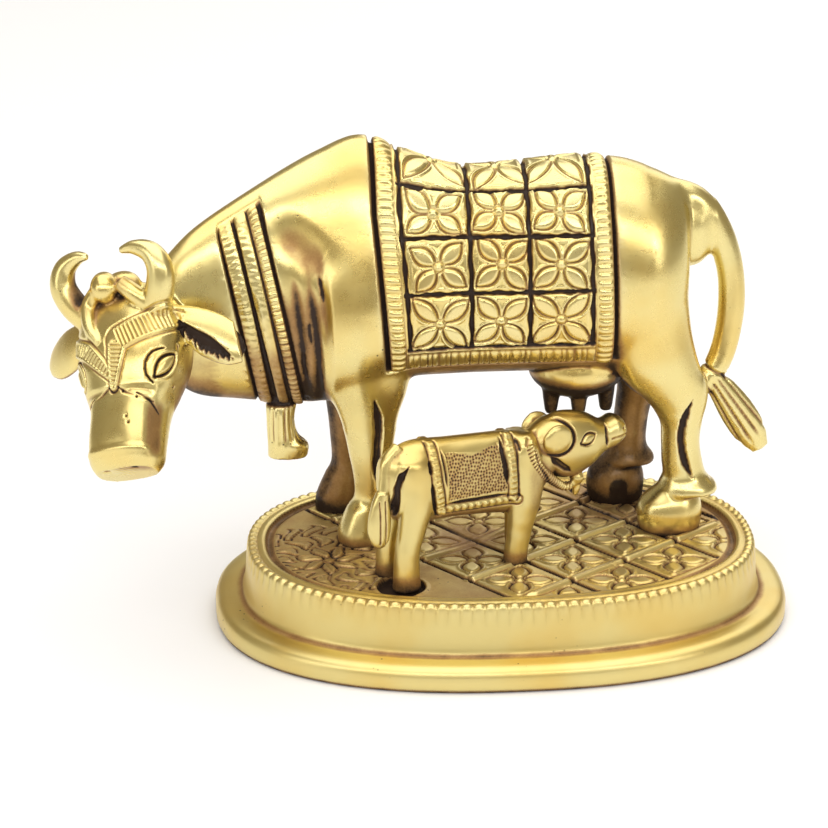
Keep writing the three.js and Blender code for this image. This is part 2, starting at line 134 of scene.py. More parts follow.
NEAR_HIND_HOOF = [
    [22.6, 34.2, 3.3, 3.6, 3.2],
    [21.3, 33.7, 3.2, 4.7, 3.9],
    [19.9, 33.3, 3.1, 5.8, 4.6],
    [18.0, 33.1, 3.0, 6.3, 5.0],
    [16.0, 33.1, 3.0, 6.2, 5.0],
    [HOOF_BASE, 33.1, 3.0, 5.7, 4.8],
]
FAR_HIND_LEG = [
    [62, 27, 16.4, 8.6, 6.4],
    [52, 28, 17.2, 8.4, 6.4],
    [45, 29.2, 17.8, 7.2, 5.6],
    [39, 29.2, 18.2, 4.6, 4.4],
    [34, 28.0, 18.4, 3.5, 3.6],
    [28, 27.3, 18.6, 3.4, 3.5],
    [25, 27.2, 18.7, 3.8, 3.7],
    [23, 27.3, 18.7, 5.0, 4.6],
    [22, 27.3, 18.7, 5.1, 4.7],
]
FAR_HIND_HOOF = [
    [22.6, 25.4, 18.7, 3.4, 3.2],
    [21.4, 25.2, 18.7, 4.4, 3.9],
    [20.0, 24.9, 18.6, 5.3, 4.5],
    [18.0, 24.8, 18.6, 5.7, 4.8],
    [16.0, 24.8, 18.6, 5.6, 4.7],
    [HOOF_BASE, 24.9, 18.6, 5.2, 4.5],
]

# Udder: an egg under the flank, with four teats. x, y, length
UDDER_AT, UDDER_HALF = (15.5, 10, 45.5), (9.5, 8.5, 6.0)
TEATS = [[10.4, 8.4, 5.2], [15.6, 7.2, 5.4], [21.2, 9.6, 5.4], [15.6, 14, 4.6]]
TEAT_ROOT = 41.5
TEAT_RADIUS = 1.9

# Tail and its tuft. x, y, z, half width, half thickness
TAIL = [
    [31, 10.5, 80.0, 3.0, 3.0],
    [37.6, 10.5, 77.6, 3.1, 3.1],
    [41.9, 10.4, 71.8, 2.9, 2.9],
    [44.4, 10.0, 65.0, 2.6, 2.6],
    [45.0, 9.4, 57.5, 2.6, 2.6],
    [44.0, 8.6, 50.0, 2.5, 2.5],
    [41.9, 7.6, 44.9, 2.4, 2.4],
    [38.5, 6.8, 41.0, 2.2, 2.2],
]
TAIL_HEAD_AT, TAIL_HEAD_HALF = (37.2, 10.5, 72.0), (4.2, 4.4, 7.4)
TAIL_TUFT = [
    [41.0, 7.4, 44.0, 1.9, 1.8],
    [43.4, 7.4, 40.5, 2.7, 1.9],
    [46.4, 7.4, 36.0, 3.4, 1.9],
    [49.2, 7.4, 31.6, 3.2, 1.6],
    [51.4, 7.4, 28.0, 1.7, 1.0],
]

# Head, in its own axes: +x along the face to the muzzle, +y to the cow's left, +z out of the forehead
HEAD_AT = (-69.3, -1.0, 64.0)
HEAD_TURN, HEAD_NOD, HEAD_TILT = 64, 50, 17
# x, top z, bottom z, half width
SKULL_POWER = 2.6
SKULL = [
    [-3, 3.5, -7.0, 6.0],
    [1, 5.6, -10.0, 9.0],
    [6, 6.4, -11.0, 10.4],
    [12, 6.0, -11.0, 10.2],
    [17, 4.8, -9.8, 8.6],
    [21, 4.2, -8.4, 7.4],
    [27, 4.2, -7.2, 7.2],
    [30.5, 3.4, -6.6, 7.1],
    [32.5, 1.4, -5.4, 6.0],
]
HORN = [
    [3, 6.8, 2.5, 2.7],
    [0.5, 9.2, 5.0, 2.7],
    [-2.6, 10.4, 7.2, 2.5],
    [-5.4, 9.2, 8.8, 2.1],
    [-6.6, 6.2, 9.8, 1.4],
    [-6.2, 3.4, 10.4, 0.6],
]
EAR = [
    [3.0, 7.5, -1.0, 2.2, 1.8],
    [4.8, 12.0, -2.5, 3.4, 1.8],
    [7.2, 15.6, -4.2, 4.3, 1.7],
    [9.6, 19.2, -6.0, 3.5, 1.3],
    [10.9, 21.2, -7.0, 1.5, 0.7],
]
# The far ear is carried higher than the near one: it keeps this share of the near one's droop.
FAR_EAR_DROOP = 0.5
# The curl of rope between the horns: a lobe, the bridge from it to the near horn, the strap that runs down the
# forehead from it. x, y, z, radius
TOPKNOT_LOBE_AT, TOPKNOT_LOBE_HALF = (-1.0, -1.4, 7.2), (3.0, 2.6, 2.8)
TOPKNOT_BRIDGE = [[2.4, 6.4, 4.4, 1.8], [0.6, 4.2, 6.2, 1.75], [-1.4, 2.0, 7.4, 1.6]]
TOPKNOT_STRAP = [
    [-0.3, -3, 7.4, 1.4], [1.5, -4.8, 6.6, 1.45], [3.6, -5.2, 6.4, 1.35], [6.5, -4.6, 6.2, 1.2], [9.4, -2.7, 5.8, 0.9],
]
TOPKNOT_CORE_AT, TOPKNOT_CORE_HALF = (-2.0, 0.2, 3.8), (3.2, 4.0, 2.6)

# Fluted pendant that hangs in front of the chest. z, x, y, half length, half depth
PENDANT = [
    [47, -41.2, 6.4, 3.2, 2.6],
    [42.5, -41.4, 6.2, 3.2, 2.6],
    [38, -41.8, 6.0, 2.7, 2.4],
    [34.6, -41.4, 6.0, 3.0, 2.5],
    [32.6, -40.4, 6.0, 3.9, 2.8],
    [30.2, -40.5, 6.0, 3.8, 2.6],
]

# Calf, in its own axes: +x to its nose, +y to its left
CALF_AT = (-21.9, -17.7, 0)
CALF_TURN = 24
CALF_BODY = [
    [-2.6, 0, 39.0, 30.0, 2.6, 0],
    [-0.5, 0, 40.2, 26.8, 4.2, 0.1],
    [4, 0, 41.4, 25.4, 5.0, 0.15],
    [11, 0, 40.7, 25.0, 4.9, 0.1],
    [18, 0, 40.1, 24.2, 4.8, 0.1],
    [24, 0, 39.6, 23.4, 4.6, 0.15],
    [28.5, 0, 38.8, 24.4, 4.2, 0.2],
    [31.5, 0, 39.2, 28.0, 3.7, 0.2],
    [34.5, 0, 39.8, 30.5, 3.4, 0.1],
]
CALF_HEAD = [
    [29, 0, 38.8, 33.0, 3.0, 0],
    [32.5, 0, 40.6, 29.4, 4.2, 0],
    [36.5, 0, 41.0, 27.8, 4.7, 0],
    [41, 0, 40.0, 28.8, 4.1, 0],
    [44.6, 0, 38.0, 31.2, 3.0, 0],
    [47.2, 0, 38.5, 32.0, 3.1, 0],
    [49.0, 0, 37.6, 33.2, 2.6, 0],
]
CALF_HIND_LEG = [
    [40, 2.6, 1.4, 2.2, 1.2],
    [38, 2.6, 2.4, 3.6, 2.2],
    [33, 2.9, 2.9, 3.4, 2.4],
    [29, 2.7, 3.2, 3.3, 2.4],
    [25, 1.8, 3.3, 2.8, 2.2],
    [21, 0.8, 3.4, 2.4, 2.1],
    [17.5, 0.6, 3.4, 2.5, 2.2],
    [HOOF_BASE, 0.7, 3.4, 2.7, 2.4],
]
CALF_FRONT_LEG = [
    [39, 26.6, 1.4, 1.6, 1.0],
    [37, 26.4, 2.4, 2.8, 2.0],
    [31, 26.6, 2.8, 3.7, 2.3],
    [26, 26.2, 3.1, 3.3, 2.2],
    [21, 25.2, 3.2, 2.6, 2.0],
    [17, 24.4, 3.3, 2.3, 2.0],
    [HOOF_BASE, 24.0, 3.3, 2.3, 2.1],
]
CALF_STRIDE = 4.5
CALF_TAIL = [
    [0.5, -0.4, 41.0, 1.1, 1.1],
    [-2.2, -0.8, 38.6, 1.1, 1.1],
    [-3.0, -1.4, 35.6, 1.1, 1.1],
    [-3.6, -2.0, 32.2, 1.2, 1.1],
]
CALF_TUFT = [
    [-3.6, -2.0, 33.2, 1.3, 1.2],
    [-4.2, -2.2, 30.4, 2.0, 1.3],
    [-4.6, -2.4, 26.6, 2.4, 1.3],
    [-4.5, -2.4, 24.0, 1.9, 1.2],
    [-4.4, -2.4, 22.6, 0.8, 0.7],
]
CALF_CHEST_AT, CALF_CHEST_HALF = (28.4, 0, 30.6), (4.0, 4.3, 5.2)
CALF_EAR_AT, CALF_EAR_HALF = (32.6, 4.1, 37.4), (3.2, 1.0, 2.9)
CALF_BELL_AT, CALF_BELL_RADIUS = (38.6, -1.6, 27.6), 1.35
CALF_ROPE = [
    [26.5, -4.1, 37.6, 0.85, 0.85], [27.4, -4.3, 34.5, 0.85, 0.85], [29.4, -4.0, 31.6, 0.9, 0.9],
    [32.4, -3.1, 28.8, 0.9, 0.9], [35.5, -2.0, 26.6, 0.8, 0.8], [38.0, -1.7, 26.6, 0.7, 0.7],
]
CALF_CORD_END = [[38.6, -1.6, 26.8, 0.7, 0.7], [38.4, -1.7, 25.4, 0.75, 0.75], [38.0, -1.8, 24.2, 0.4, 0.4]]


# Numbers and curves


def ease(x, low, high):
    """0 below low, 1 above high, and a smooth step between them."""
    t = np.clip((x - low) / (high - low), 0, 1)
    return t * t * (3 - 2 * t)


def hump(x, half):
    """1 where x is 0, falling smoothly to 0 at half on either side."""
    return ease(half - np.abs(x), 0, half)


def spline(rows, t):
    """Values at t from 0 to 1 along evenly spaced rows: a Catmull-Rom curve through every column."""
    rows = np.asarray(rows, float)
    more = np.vstack([2 * rows[0] - rows[1], rows, 2 * rows[-1] - rows[-2]])
    s = np.clip(t, 0, 1) * (len(rows) - 1)
    k = np.minimum(s.astype(int), len(rows) - 2)
    f = (s - k)[..., None]
    a, b, c, d = (more[k + i] for i in range(4))
    return 0.5 * (2 * b + (c - a) * f + (2 * a - 5 * b + 4 * c - d) * f**2 + (3 * b - a - 3 * c + d) * f**3)


def superellipse(angle, half_across, half_up, power):
    """Across and up of the superellipse |x/a|^p + |y/b|^p = 1 at an angle."""
    c, s = np.cos(angle), np.sin(angle)
    return (
        half_across * np.sign(c) * np.abs(c) ** (2 / power),
        half_up * np.sign(s) * np.abs(s) ** (2 / power),
    )


def from_line(points, u, v):
    """Distance of every (u, v) from a bent line through points, and how far along the line its foot is."""
    points = np.asarray(points, float)
    best = np.full(np.shape(u), 1e9)
    travel = np.zeros(np.shape(u))
    gone = 0.0
    for (ax, ay), (bx, by) in zip(points[:-1], points[1:]):
        length = math.hypot(bx - ax, by - ay)
        t = np.clip(((u - ax) * (bx - ax) + (v - ay) * (by - ay)) / length**2, 0, 1)
        away = np.hypot(u - ax - t * (bx - ax), v - ay - t * (by - ay))
        near = away < best
        best = np.where(near, away, best)
        travel = np.where(near, gone + t * length, travel)
        gone += length
    return best, travel


def eased_line(points, count=9):
    """The same line with its corners rounded: a Catmull-Rom curve through its points."""
    return spline(points, np.linspace(0, 1, count))


def stroke(points, u, v, width, depth):
    """A chased line: a groove of that width and depth that thins towards its two ends."""
    away, travel = from_line(points, u, v)
    whole = from_line(points, points[-1][0], points[-1][1])[1]
    taper = 0.35 + 0.65 * np.sqrt(np.clip(4 * travel / whole * (1 - travel / whole), 0, 1))
    return -depth * hump(away, width / 2 * taper)


def cut(points, u, v, width, depth):
    """A broad chased line: a groove with a flat bottom that narrows towards its two ends."""
    away, travel = from_line(points, u, v)
    whole = from_line(points, points[-1][0], points[-1][1])[1]
    taper = np.clip(6 * travel / whole * (1 - travel / whole), 0.1, 1)
    return -depth * ease(width / 2 * taper - away, -0.12, 0.22)


def leaf(along, across, length, half_width):
    """How far inside a pointed leaf a place is: its half width is a sine of the way along it."""
    t = np.clip(along / length, 0, 1)
    beyond = np.maximum(np.maximum(-along, along - length), 0)
    return half_width * np.sin(math.pi * t) ** 0.8 - np.hypot(across, beyond)


def banded(points, u, v):
    """How far inside a band each (u, v) is, and how far along it: points give u, v and the half width there."""
    points = np.asarray(points, float)
    away, travel = from_line(points[:, :2], u, v)
    gone = np.concatenate([[0], np.cumsum(np.hypot(*np.diff(points[:, :2], axis=0).T))])
    return np.interp(travel, gone, points[:, 2]) - away, travel


def window(x, low, high, edge):
    """1 between low and high, with soft edges that are so wide."""
    return ease(x, low - edge / 2, low + edge / 2) * ease(high - x, -edge / 2, edge / 2)


def ripple(p, size, seed):
    """A smooth uneven field from -1 to 1: a sum of sines in fixed pseudo-random directions."""
    rng = np.random.default_rng(seed)
    total = np.zeros(len(p))
    for _ in range(7):
        way = rng.normal(size=3)
        way *= rng.uniform(0.6, 1.5) / (np.linalg.norm(way) * size)
        total += np.sin(p @ way * TAU + rng.uniform(0, TAU))
    return total / 7


# Closed surfaces, each as (points, faces)


def rings(points):
    """A closed skin over a grid whose columns close on themselves, with its two ends drawn in to their middles."""
    rows, columns = points.shape[:2]
    index = np.arange(rows * columns).reshape(rows, columns)
    following = np.roll(index, -1, axis=1)
    sides = np.stack([index[:-1], following[:-1], following[1:], index[1:]], -1).reshape(-1, 4)
    first, last = rows * columns, rows * columns + 1
    ends = np.vstack([
        np.stack([following[0], index[0], np.full(columns, first)], -1),
        np.stack([index[-1], following[-1], np.full(columns, last)], -1),
    ])
    middles = np.stack([points[0].mean(0), points[-1].mean(0)])
    return np.vstack([points.reshape(-1, 3), middles]), [sides, ends]


def loop(points):
    """A closed skin over a grid that closes on itself both ways, like a ring's."""
    rows, columns = points.shape[:2]
    index = np.arange(rows * columns).reshape(rows, columns)
    right, down = np.roll(index, -1, axis=1), np.roll(index, -1, axis=0)
    return points.reshape(-1, 3), [np.stack([index, right, np.roll(right, -1, axis=0), down], -1).reshape(-1, 4)]


def sheet(outer, inner):
    """A closed skin between two grids of the same size: both faces, and a strip along each of the four edges."""
    rows, columns = outer.shape[:2]
    top = np.arange(rows * columns).reshape(rows, columns)
    under = top + rows * columns
    faces = [
        np.stack([top[:-1, :-1], top[:-1, 1:], top[1:, 1:], top[1:, :-1]], -1).reshape(-1, 4),
        np.stack([under[:-1, :-1], under[1:, :-1], under[1:, 1:], under[:-1, 1:]], -1).reshape(-1, 4),
    ]
    loop = np.concatenate([top[0, :-1], top[:-1, -1], top[-1, :0:-1], top[:0:-1, 0]])
    ahead = np.roll(loop, -1)
    below = rows * columns
    faces.append(np.stack([ahead, loop, loop + below, ahead + below], -1))
    return np.vstack([outer.reshape(-1, 3), inner.reshape(-1, 3)]), faces


def together(shells):
    """Several skins as one: their points in a row, and their faces counted on from each other."""
    points, faces, count = [], [], 0
    for own, parts in shells:
        points.append(own)
        faces += [part + count for part in parts]
        count += len(own)
    return np.vstack(points), faces


def trunk(stations, t, angle, grow=0.0, power=BODY_POWER):
    """A point of a body at t along it and an angle round it. Sections stand upright: each is a superellipse
    between a top and a bottom line, made narrower towards its top."""
    x, y, top, bottom, half, narrowing = np.moveaxis(spline(stations, t), -1, 0)
    high = (top - bottom) / 2 + grow
    across, up = superellipse(angle, half + grow, high, power)
    across = across * (1 - narrowing * up / high)
    return np.stack([x + 0 * across, y + across, (top + bottom) / 2 + up], -1)


def trunk_shell(stations, rows=120, columns=96, power=BODY_POWER):
    t = np.linspace(0, 1, rows)[:, None]
    angle = np.linspace(0, TAU, columns, endpoint=False)[None]
    return rings(trunk(stations, t, angle, power=power))


def leg_shell(stations, rows=70, columns=48):
    """A pile of level superellipses: z, x, y, half length and half depth run smoothly up the leg."""
    z, x, y, length, depth = np.moveaxis(spline(stations, np.linspace(0, 1, rows)[:, None]), -1, 0)
    angle = np.linspace(0, TAU, columns, endpoint=False)[None]
    across, deep = superellipse(angle, length, depth, LEG_POWER)
    return rings(np.stack([x + across, y + deep, z + 0 * across], -1))


def rod_shell(stations, flat, rows=60, columns=28):
    """Ellipses carried along a curve, square to it, with their width square to the direction flat."""
    stations = np.asarray(stations, float)
    along = spline(stations, np.linspace(0, 1, rows))
    line, width, thickness = along[:, :3], along[:, 3], along[:, -1]
    tangent = np.gradient(line, axis=0)
    tangent /= np.linalg.norm(tangent, axis=1)[:, None]
    side = np.cross(np.asarray(flat, float), tangent)
    side /= np.linalg.norm(side, axis=1)[:, None]
    face = np.cross(tangent, side)
    angle = np.linspace(0, TAU, columns, endpoint=False)
    round_ = width[:, None, None] * np.cos(angle)[None, :, None] * side[:, None]
    return rings(line[:, None] + round_ + thickness[:, None, None] * np.sin(angle)[None, :, None] * face[:, None])


def egg_shell(at, half, rows=24, columns=32):
    """A sphere stretched to three half widths: rings of latitude and longitude."""
    tall = np.linspace(-math.pi / 2, math.pi / 2, rows + 2)[1:-1, None]
    angle = np.linspace(0, TAU, columns, endpoint=False)[None]
    unit = np.stack([np.cos(tall) * np.cos(angle), np.cos(tall) * np.sin(angle), np.sin(tall) + 0 * angle], -1)
    return rings(np.asarray(at, float) + unit * np.asarray(half, float))


def turned(shell, matrix, at):
    points, faces = shell
    return points @ matrix.T + np.asarray(at, float), faces


def turn(axis, degrees):
    return np.array(Matrix.Rotation(math.radians(degrees), 3, axis))


HEAD_MATRIX = turn("Z", 180 + HEAD_TURN) @ turn("X", HEAD_TILT) @ turn("Y", HEAD_NOD)
CALF_MATRIX = turn("Z", CALF_TURN)


# Meshes


def new_mesh(name, points, faces):
    """Puts points in millimetres and arrays of faces into a mesh in metres, with its faces pointing out."""
    mesh = bpy.data.meshes.new(name)
    sizes = np.concatenate([np.full(len(part), part.shape[1]) for part in faces])
    corners = np.concatenate([part.ravel() for part in faces])
    mesh.vertices.add(len(points))
    mesh.vertices.foreach_set("co", (points * MM).astype(np.float32).ravel())
    mesh.loops.add(len(corners))
    mesh.loops.foreach_set("vertex_index", corners.astype(np.int32))
    mesh.polygons.add(len(sizes))
    starts = np.concatenate([[0], np.cumsum(sizes)[:-1]])
    mesh.polygons.foreach_set("loop_start", starts.astype(np.int32))
    mesh.update(calc_edges=True)
    if volume(points, faces) < 0:
        mesh.flip_normals()
    mesh.shade_smooth()
    return mesh


def volume(points, faces):
    """Six times the enclosed volume: the sum of a . (b x c) over fans of triangles."""
    total = 0.0
    for part in faces:
        a = points[part[:, 0]]
        for k in range(1, part.shape[1] - 1):
            total += np.einsum("ij,ij", a, np.cross(points[part[:, k]], points[part[:, k + 1]]))
    return total


def new_piece(name, points, faces):
    piece = bpy.data.objects.new(name, new_mesh(name, points, faces))
    bpy.context.scene.collection.objects.link(piece)
    return piece


def bake_modifiers(piece):
    """Replaces the mesh by what its modifiers make of it."""
    graph = bpy.context.evaluated_depsgraph_get()
    made = bpy.data.meshes.new_from_object(piece.evaluated_get(graph))
    old = piece.data
    piece.modifiers.clear()
    piece.data = made
    made.name = piece.name
    bpy.data.meshes.remove(old)


def melt(piece, voxel, softening):
    """Melts interpenetrating skins into one closed skin of even squares, then softens the creases between them."""
    remesh = piece.modifiers.new("melt", "REMESH")
    remesh.mode = "VOXEL"
    remesh.voxel_size = voxel * MM
    remesh.use_smooth_shade = True
    smooth = piece.modifiers.new("soften", "SMOOTH")
    smooth.factor = 0.5
    smooth.iterations = softening
    bake_modifiers(piece)


def thin(piece, triangles):
    """Collapses the edges that matter least until so many triangles are left."""
    piece.data.calc_loop_triangles()
    have = len(piece.data.loop_triangles)
    if have > triangles:
        decimate = piece.modifiers.new("thin", "DECIMATE")
        decimate.ratio = triangles / have
        decimate.use_collapse_triangulate = True
        bake_modifiers(piece)
    piece.data.shade_smooth()


def read(mesh, what="co"):
    """Places in millimetres, or normals, of every vertex."""
    values = np.zeros(len(mesh.vertices) * 3, np.float32)
    mesh.vertices.foreach_get(what, values)
    return values.reshape(-1, 3).astype(float) / (MM if what == "co" else 1)


def raise_skin(mesh, relief, normals=None):
    """Moves every vertex along its normal by so many millimetres."""
    moved = read(mesh) + (read(mesh, "normal") if normals is None else normals) * relief[:, None]
    mesh.vertices.foreach_set("co", (moved * MM).astype(np.float32).ravel())
    mesh.update()


def refine(piece, chosen):
    """Splits every face whose corners are all chosen into four."""
    mesh = bmesh.new()
    mesh.from_mesh(piece.data)
    mesh.verts.ensure_lookup_table()
    edges = [edge for edge in mesh.edges if chosen[edge.verts[0].index] and chosen[edge.verts[1].index]]
    bmesh.ops.subdivide_edges(mesh, edges=edges, cuts=1, use_grid_fill=True, smooth=0.6)
    mesh.to_mesh(piece.data)
    mesh.free()


def smooth_field(mesh, values, rounds):
    """Averages a value at each vertex with its neighbours, so many times over."""
    pairs = np.zeros(len(mesh.edges) * 2, np.int32)
    mesh.edges.foreach_get("vertices", pairs)
    a, b = pairs[0::2], pairs[1::2]
    count = len(mesh.vertices)
    share = np.maximum(np.bincount(a, minlength=count) + np.bincount(b, minlength=count), 1)
    for _ in range(rounds):
        around = [
            np.bincount(a, values[b, k], count) + np.bincount(b, values[a, k], count) for k in range(values.shape[1])
        ]
        values = 0.5 * values + 0.5 * np.stack(around, 1) / share[:, None]
    return values


def hollows(mesh):
    """How deep each vertex lies below the skin smoothed a little and smoothed a lot, along its normal."""
    places, normals = read(mesh), read(mesh, "normal")
    fine = smooth_field(mesh, places, 4)
    broad = smooth_field(mesh, fine, 28)
    return np.einsum("ij,ij->i", fine - places, normals), np.einsum("ij,ij->i", broad - places, normals)


def mark(piece, hollow, proud):
    """Stores how dark the skin is made, by dirt and by painted shade, and how much its edges are rubbed, from 0 to 1
    at each vertex.
    """
    for name, values in (("hollow", hollow), ("proud", proud)):
        layer = piece.data.attributes.new(name, "FLOAT", "POINT")
        layer.data.foreach_set("value", np.clip(values, 0, 1).astype(np.float32))


def mark_casting(piece, stain_and_shade):
    """Dirt in the creases of a casting, on top of the stains and the painted shade that it is given."""
    near, far = hollows(piece.data)
    dirt = 3.6 * near + 1.5 * far
    mark(piece, smooth_field(piece.data, (np.clip(dirt, 0, 1) + stain_and_shade)[:, None], 1)[:, 0], -2.6 * near - 0.7 * far)


def soften(piece, chosen, rounds):
    """Rounds off the creases where skins were melted together, at the chosen vertices only."""
    group = piece.vertex_groups.new(name="soft")
    group.add(np.flatnonzero(chosen).tolist(), 1.0, "REPLACE")
    smooth = piece.modifiers.new("soften", "SMOOTH")
    smooth.factor = 0.5
    smooth.iterations = rounds
    smooth.vertex_group = group.name
    bake_modifiers(piece)
    piece.vertex_groups.clear()


# Shader expressions


class Wire:
    """A shader socket that can stand in sums: an expression on wires adds the Math nodes that work it out."""

    def __init__(self, shop, socket):
        self.shop = shop
        self.socket = socket

    def _math(self, operation, *values):
        return self.shop.node("ShaderNodeMath", {"operation": operation}, values)

    def __add__(self, other):
        return self._math("ADD", self, other)

    __radd__ = __add__

    def __sub__(self, other):
        return self._math("SUBTRACT", self, other)

    def __rsub__(self, other):
        return self._math("SUBTRACT", other, self)

    def __mul__(self, other):
        return self._math("MULTIPLY", self, other)

    __rmul__ = __mul__

    def __pow__(self, other):
        return self._math("POWER", self, other)

    def top(self, other):
        return self._math("MAXIMUM", self, other)

    def step(self, low, high):
        """0 below low, 1 above high, and a smooth step between them."""
        return self.shop.node(
            "ShaderNodeMapRange",
            {"interpolation_type": "SMOOTHSTEP"},
            {"Value": self, "From Min": low, "From Max": high, "To Min": 0.0, "To Max": 1.0},
            "Result",
        )


class Shop:
    """A material's node tree and the few ways in which this file adds to it."""

    def __init__(self, name):
        self.material = bpy.data.materials.new(name)
        self.material.use_nodes = True
        self.tree = self.material.node_tree
        self.tree.nodes.clear()

    def node(self, kind, settings=None, inputs=(), output=0):
        """Adds a node: its settings first, then the values or wires of its sockets, by name or in order."""
        made = self.tree.nodes.new(kind)
        for name, value in (settings or {}).items():
            setattr(made, name, value)
        pairs = inputs.items() if isinstance(inputs, dict) else enumerate(inputs)
        for key, value in pairs:
            socket = made.inputs[key]
            if isinstance(value, Wire):
                self.tree.links.new(value.socket, socket)
            else:
                socket.default_value = value
        if isinstance(output, str):
            return Wire(self, made.outputs[output])
        return Wire(self, made.outputs[output]) if len(made.outputs) else made

    def mix(self, factor, a, b):
        """The colour a where the factor is 0 and b where it is 1."""
        made = self.tree.nodes.new("ShaderNodeMix")
        made.data_type = "RGBA"
        for socket, value in ((made.inputs[0], factor), (made.inputs[6], a), (made.inputs[7], b)):
            if isinstance(value, Wire):
                self.tree.links.new(value.socket, socket)
            else:
                socket.default_value = value
        return Wire(self, made.outputs[2])

    def stretched(self, scale):
        """Object coordinates, multiplied by a scale along each axis."""
        place = self.node("ShaderNodeTexCoord", output="Object")
        return self.node("ShaderNodeMapping", {}, {"Vector": place, "Scale": scale}, "Vector")

    def noise(self, scale, detail=3.0, rough=0.5):
        """Cloudy noise from 0 to 1, with so many clouds to the metre along each axis."""
        return self.node(
            "ShaderNodeTexNoise",
            {},
            {"Vector": self.stretched(scale), "Scale": 1.0, "Detail": detail, "Roughness": rough},
            "Fac",
        )

    def layer(self, name):
        return self.node("ShaderNodeAttribute", {"attribute_name": name}, (), "Fac")


def rgba(colour):
    return (*colour, 1.0)


def brass(name, satin=0.0, brush=(0.0, 0.0, 0.0), dirt=1.0, tarnish=0.0):
    """Cast and polished brass: pale yellow metal with cloudy warm and green tints, brown patina where the
    skin is hollow and painted shade where the stored marks carry it, a reddish fringe round both, bright rubbed edges,
    casting pits and fine file marks."""
    colours = bpy.context.scene.statue_colours
    shop = Shop(name)
    hollow = shop.layer("hollow")
    proud = shop.layer("proud")
    occlusion = shop.node("ShaderNodeAmbientOcclusion", {"samples": 8}, {"Distance": 2.6 * MM}, "AO")
    clouds = shop.noise((260.0, 260.0, 260.0), 4.0)
    grain = shop.noise((2200.0, 2200.0, 2200.0), 3.0, 0.6)
    shade = (1.0 - occlusion).step(0.30, 0.95)
    # grime_and_shade: patina in the hollows and crevices, and painted shade where the hollow attribute carries it
    grime_and_shade = hollow * (0.65 + 0.7 * clouds) * dirt + shade * (0.35 + 0.75 * clouds) * 0.9 * dirt
    grime_and_shade = grime_and_shade + (grain - 0.5) * 0.35 * grime_and_shade
    fringe = grime_and_shade.step(0.14, 0.5)
    black = grime_and_shade.step(0.42, 0.85)
    pit_cells = shop.node(
        "ShaderNodeTexVoronoi",
        {"feature": "F1"},
        {"Vector": shop.stretched((520.0, 520.0, 520.0)), "Scale": 1.0, "Randomness": 1.0},
        "Distance",
    )
    pits = (1.0 - pit_cells.step(0.05, 0.13)) * shop.noise((90.0, 90.0, 90.0), 2.0).step(0.56, 0.7)
    warm = shop.noise((48.0, 48.0, 48.0), 3.0).step(0.38, 0.68)
    metal = shop.mix(warm, rgba(colours.brass), rgba(colours.warm))
    metal = shop.mix(proud * 0.45, metal, rgba(colours.rubbed))
    metal = shop.mix(tarnish, metal, rgba(colours.tarnish))
    stained = shop.mix(fringe * 0.8, metal, rgba(colours.fringe))
    colour = shop.mix(black.top(pits * 0.9), stained, rgba(colours.patina))
    files = shop.noise(tuple(900.0 if axis == 0.0 else axis for axis in brush), 2.0, 0.6)
    rough = 0.2 + satin + clouds * 0.1 + files * 0.06 + fringe * 0.16 + black * 0.3
    metallic = 1.0 - (fringe * 0.25).top(black * 0.8)
    bump = shop.node(
        "ShaderNodeBump",
        {},
        {"Strength": 0.35, "Distance": 0.05 * MM, "Height": grain * 0.5 + files * 0.6 + clouds * 0.8 - pits * 2.2},
        "Normal",
    )
    shader = shop.node(
        "ShaderNodeBsdfPrincipled",
        {},
        {
            "Base Color": colour, "Roughness": rough, "Metallic": metallic, "Normal": bump,
            "Coat Weight": 0.2, "Coat Roughness": 0.12, "Specular IOR Level": 0.25,
        },
        "BSDF",
    )
    shop.node("ShaderNodeOutputMaterial", {}, {"Surface": shader})
    return shop.material


def finish_piece(piece, material, node=None):
    """Gives a piece its metal and its place in the frame."""
    piece.data.materials.clear()
    piece.data.materials.append(material)
    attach(piece, "root")
    if node:
        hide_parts(node)
    return piece


# Plinth

BEADS = 120
BEAD_COLUMNS = 8
# Inset from the flange's edge, z and dirt: the section from the floor's edge through the groove round it, over
# the rim, down the wall and round the flange to the underside
RIM_SECTION = [
    [11.40, 14.05, 0.3], [11.2, 13.95, 0.5], [10.9, 13.75, 0.62], [10.5, 13.6, 0.62], [10.2, 13.65, 0.62],
    [9.95, 13.9, 0.5], [9.8, 14.3, 0.3], [9.65, 14.6, 0.1], [9.1, 14.68, 0.0], [8.6, 14.62, 0.05],
    [8.28, 14.45, 0.25], [8.08, 14.42, 0.3], [7.88, 14.62, 0.1], [7.58, 14.82, 0.0], [7.2, 14.9, 0.0],
    [6.85, 14.82, 0.0], [6.55, 14.6, 0.0], [6.36, 14.3, 0.0], [6.24, 13.9, 0.05], [6.17, 13.45, 0.15],
    [6.12, 12.9, 0.1], [6.04, 11.6, 0.0], [5.96, 10.2, 0.0], [5.86, 8.8, 0.0], [5.75, 7.6, 0.0],
    [5.6, 6.5, 0.03], [5.4, 5.75, 0.2], [5.1, 5.22, 0.55], [4.55, 4.98, 0.4], [3.5, 5.0, 0.04],
    [2.1, 4.9, 0.0], [1.0, 4.6, 0.0], [0.3, 3.95, 0.0], [0.0, 2.9, 0.0], [0.0, 1.0, 0.0], [0.4, 0.15, 0.1],
    [1.4, 0.0, 0.1], [16.0, 0.0, 0.1],
]
GROOVE_ROWS = 7
BEAD_ROWS = range(10, 21)
FLOOR_INSET = 11.5
# Corner of one floor tile, and its two edges, on the floor
TILE_CORNER = np.array([2.9, -10.6])
TILE_EDGES = np.array([[11.1, 8.3], [7.9, -10.0]])
ROSETTE_AT = (-33.5, -7.5)
# The ring sunk round the calf's near hind foot: its middle and its radius
SOCKET_AT, SOCKET_RADIUS = (-21.0, -21.0), 4.6


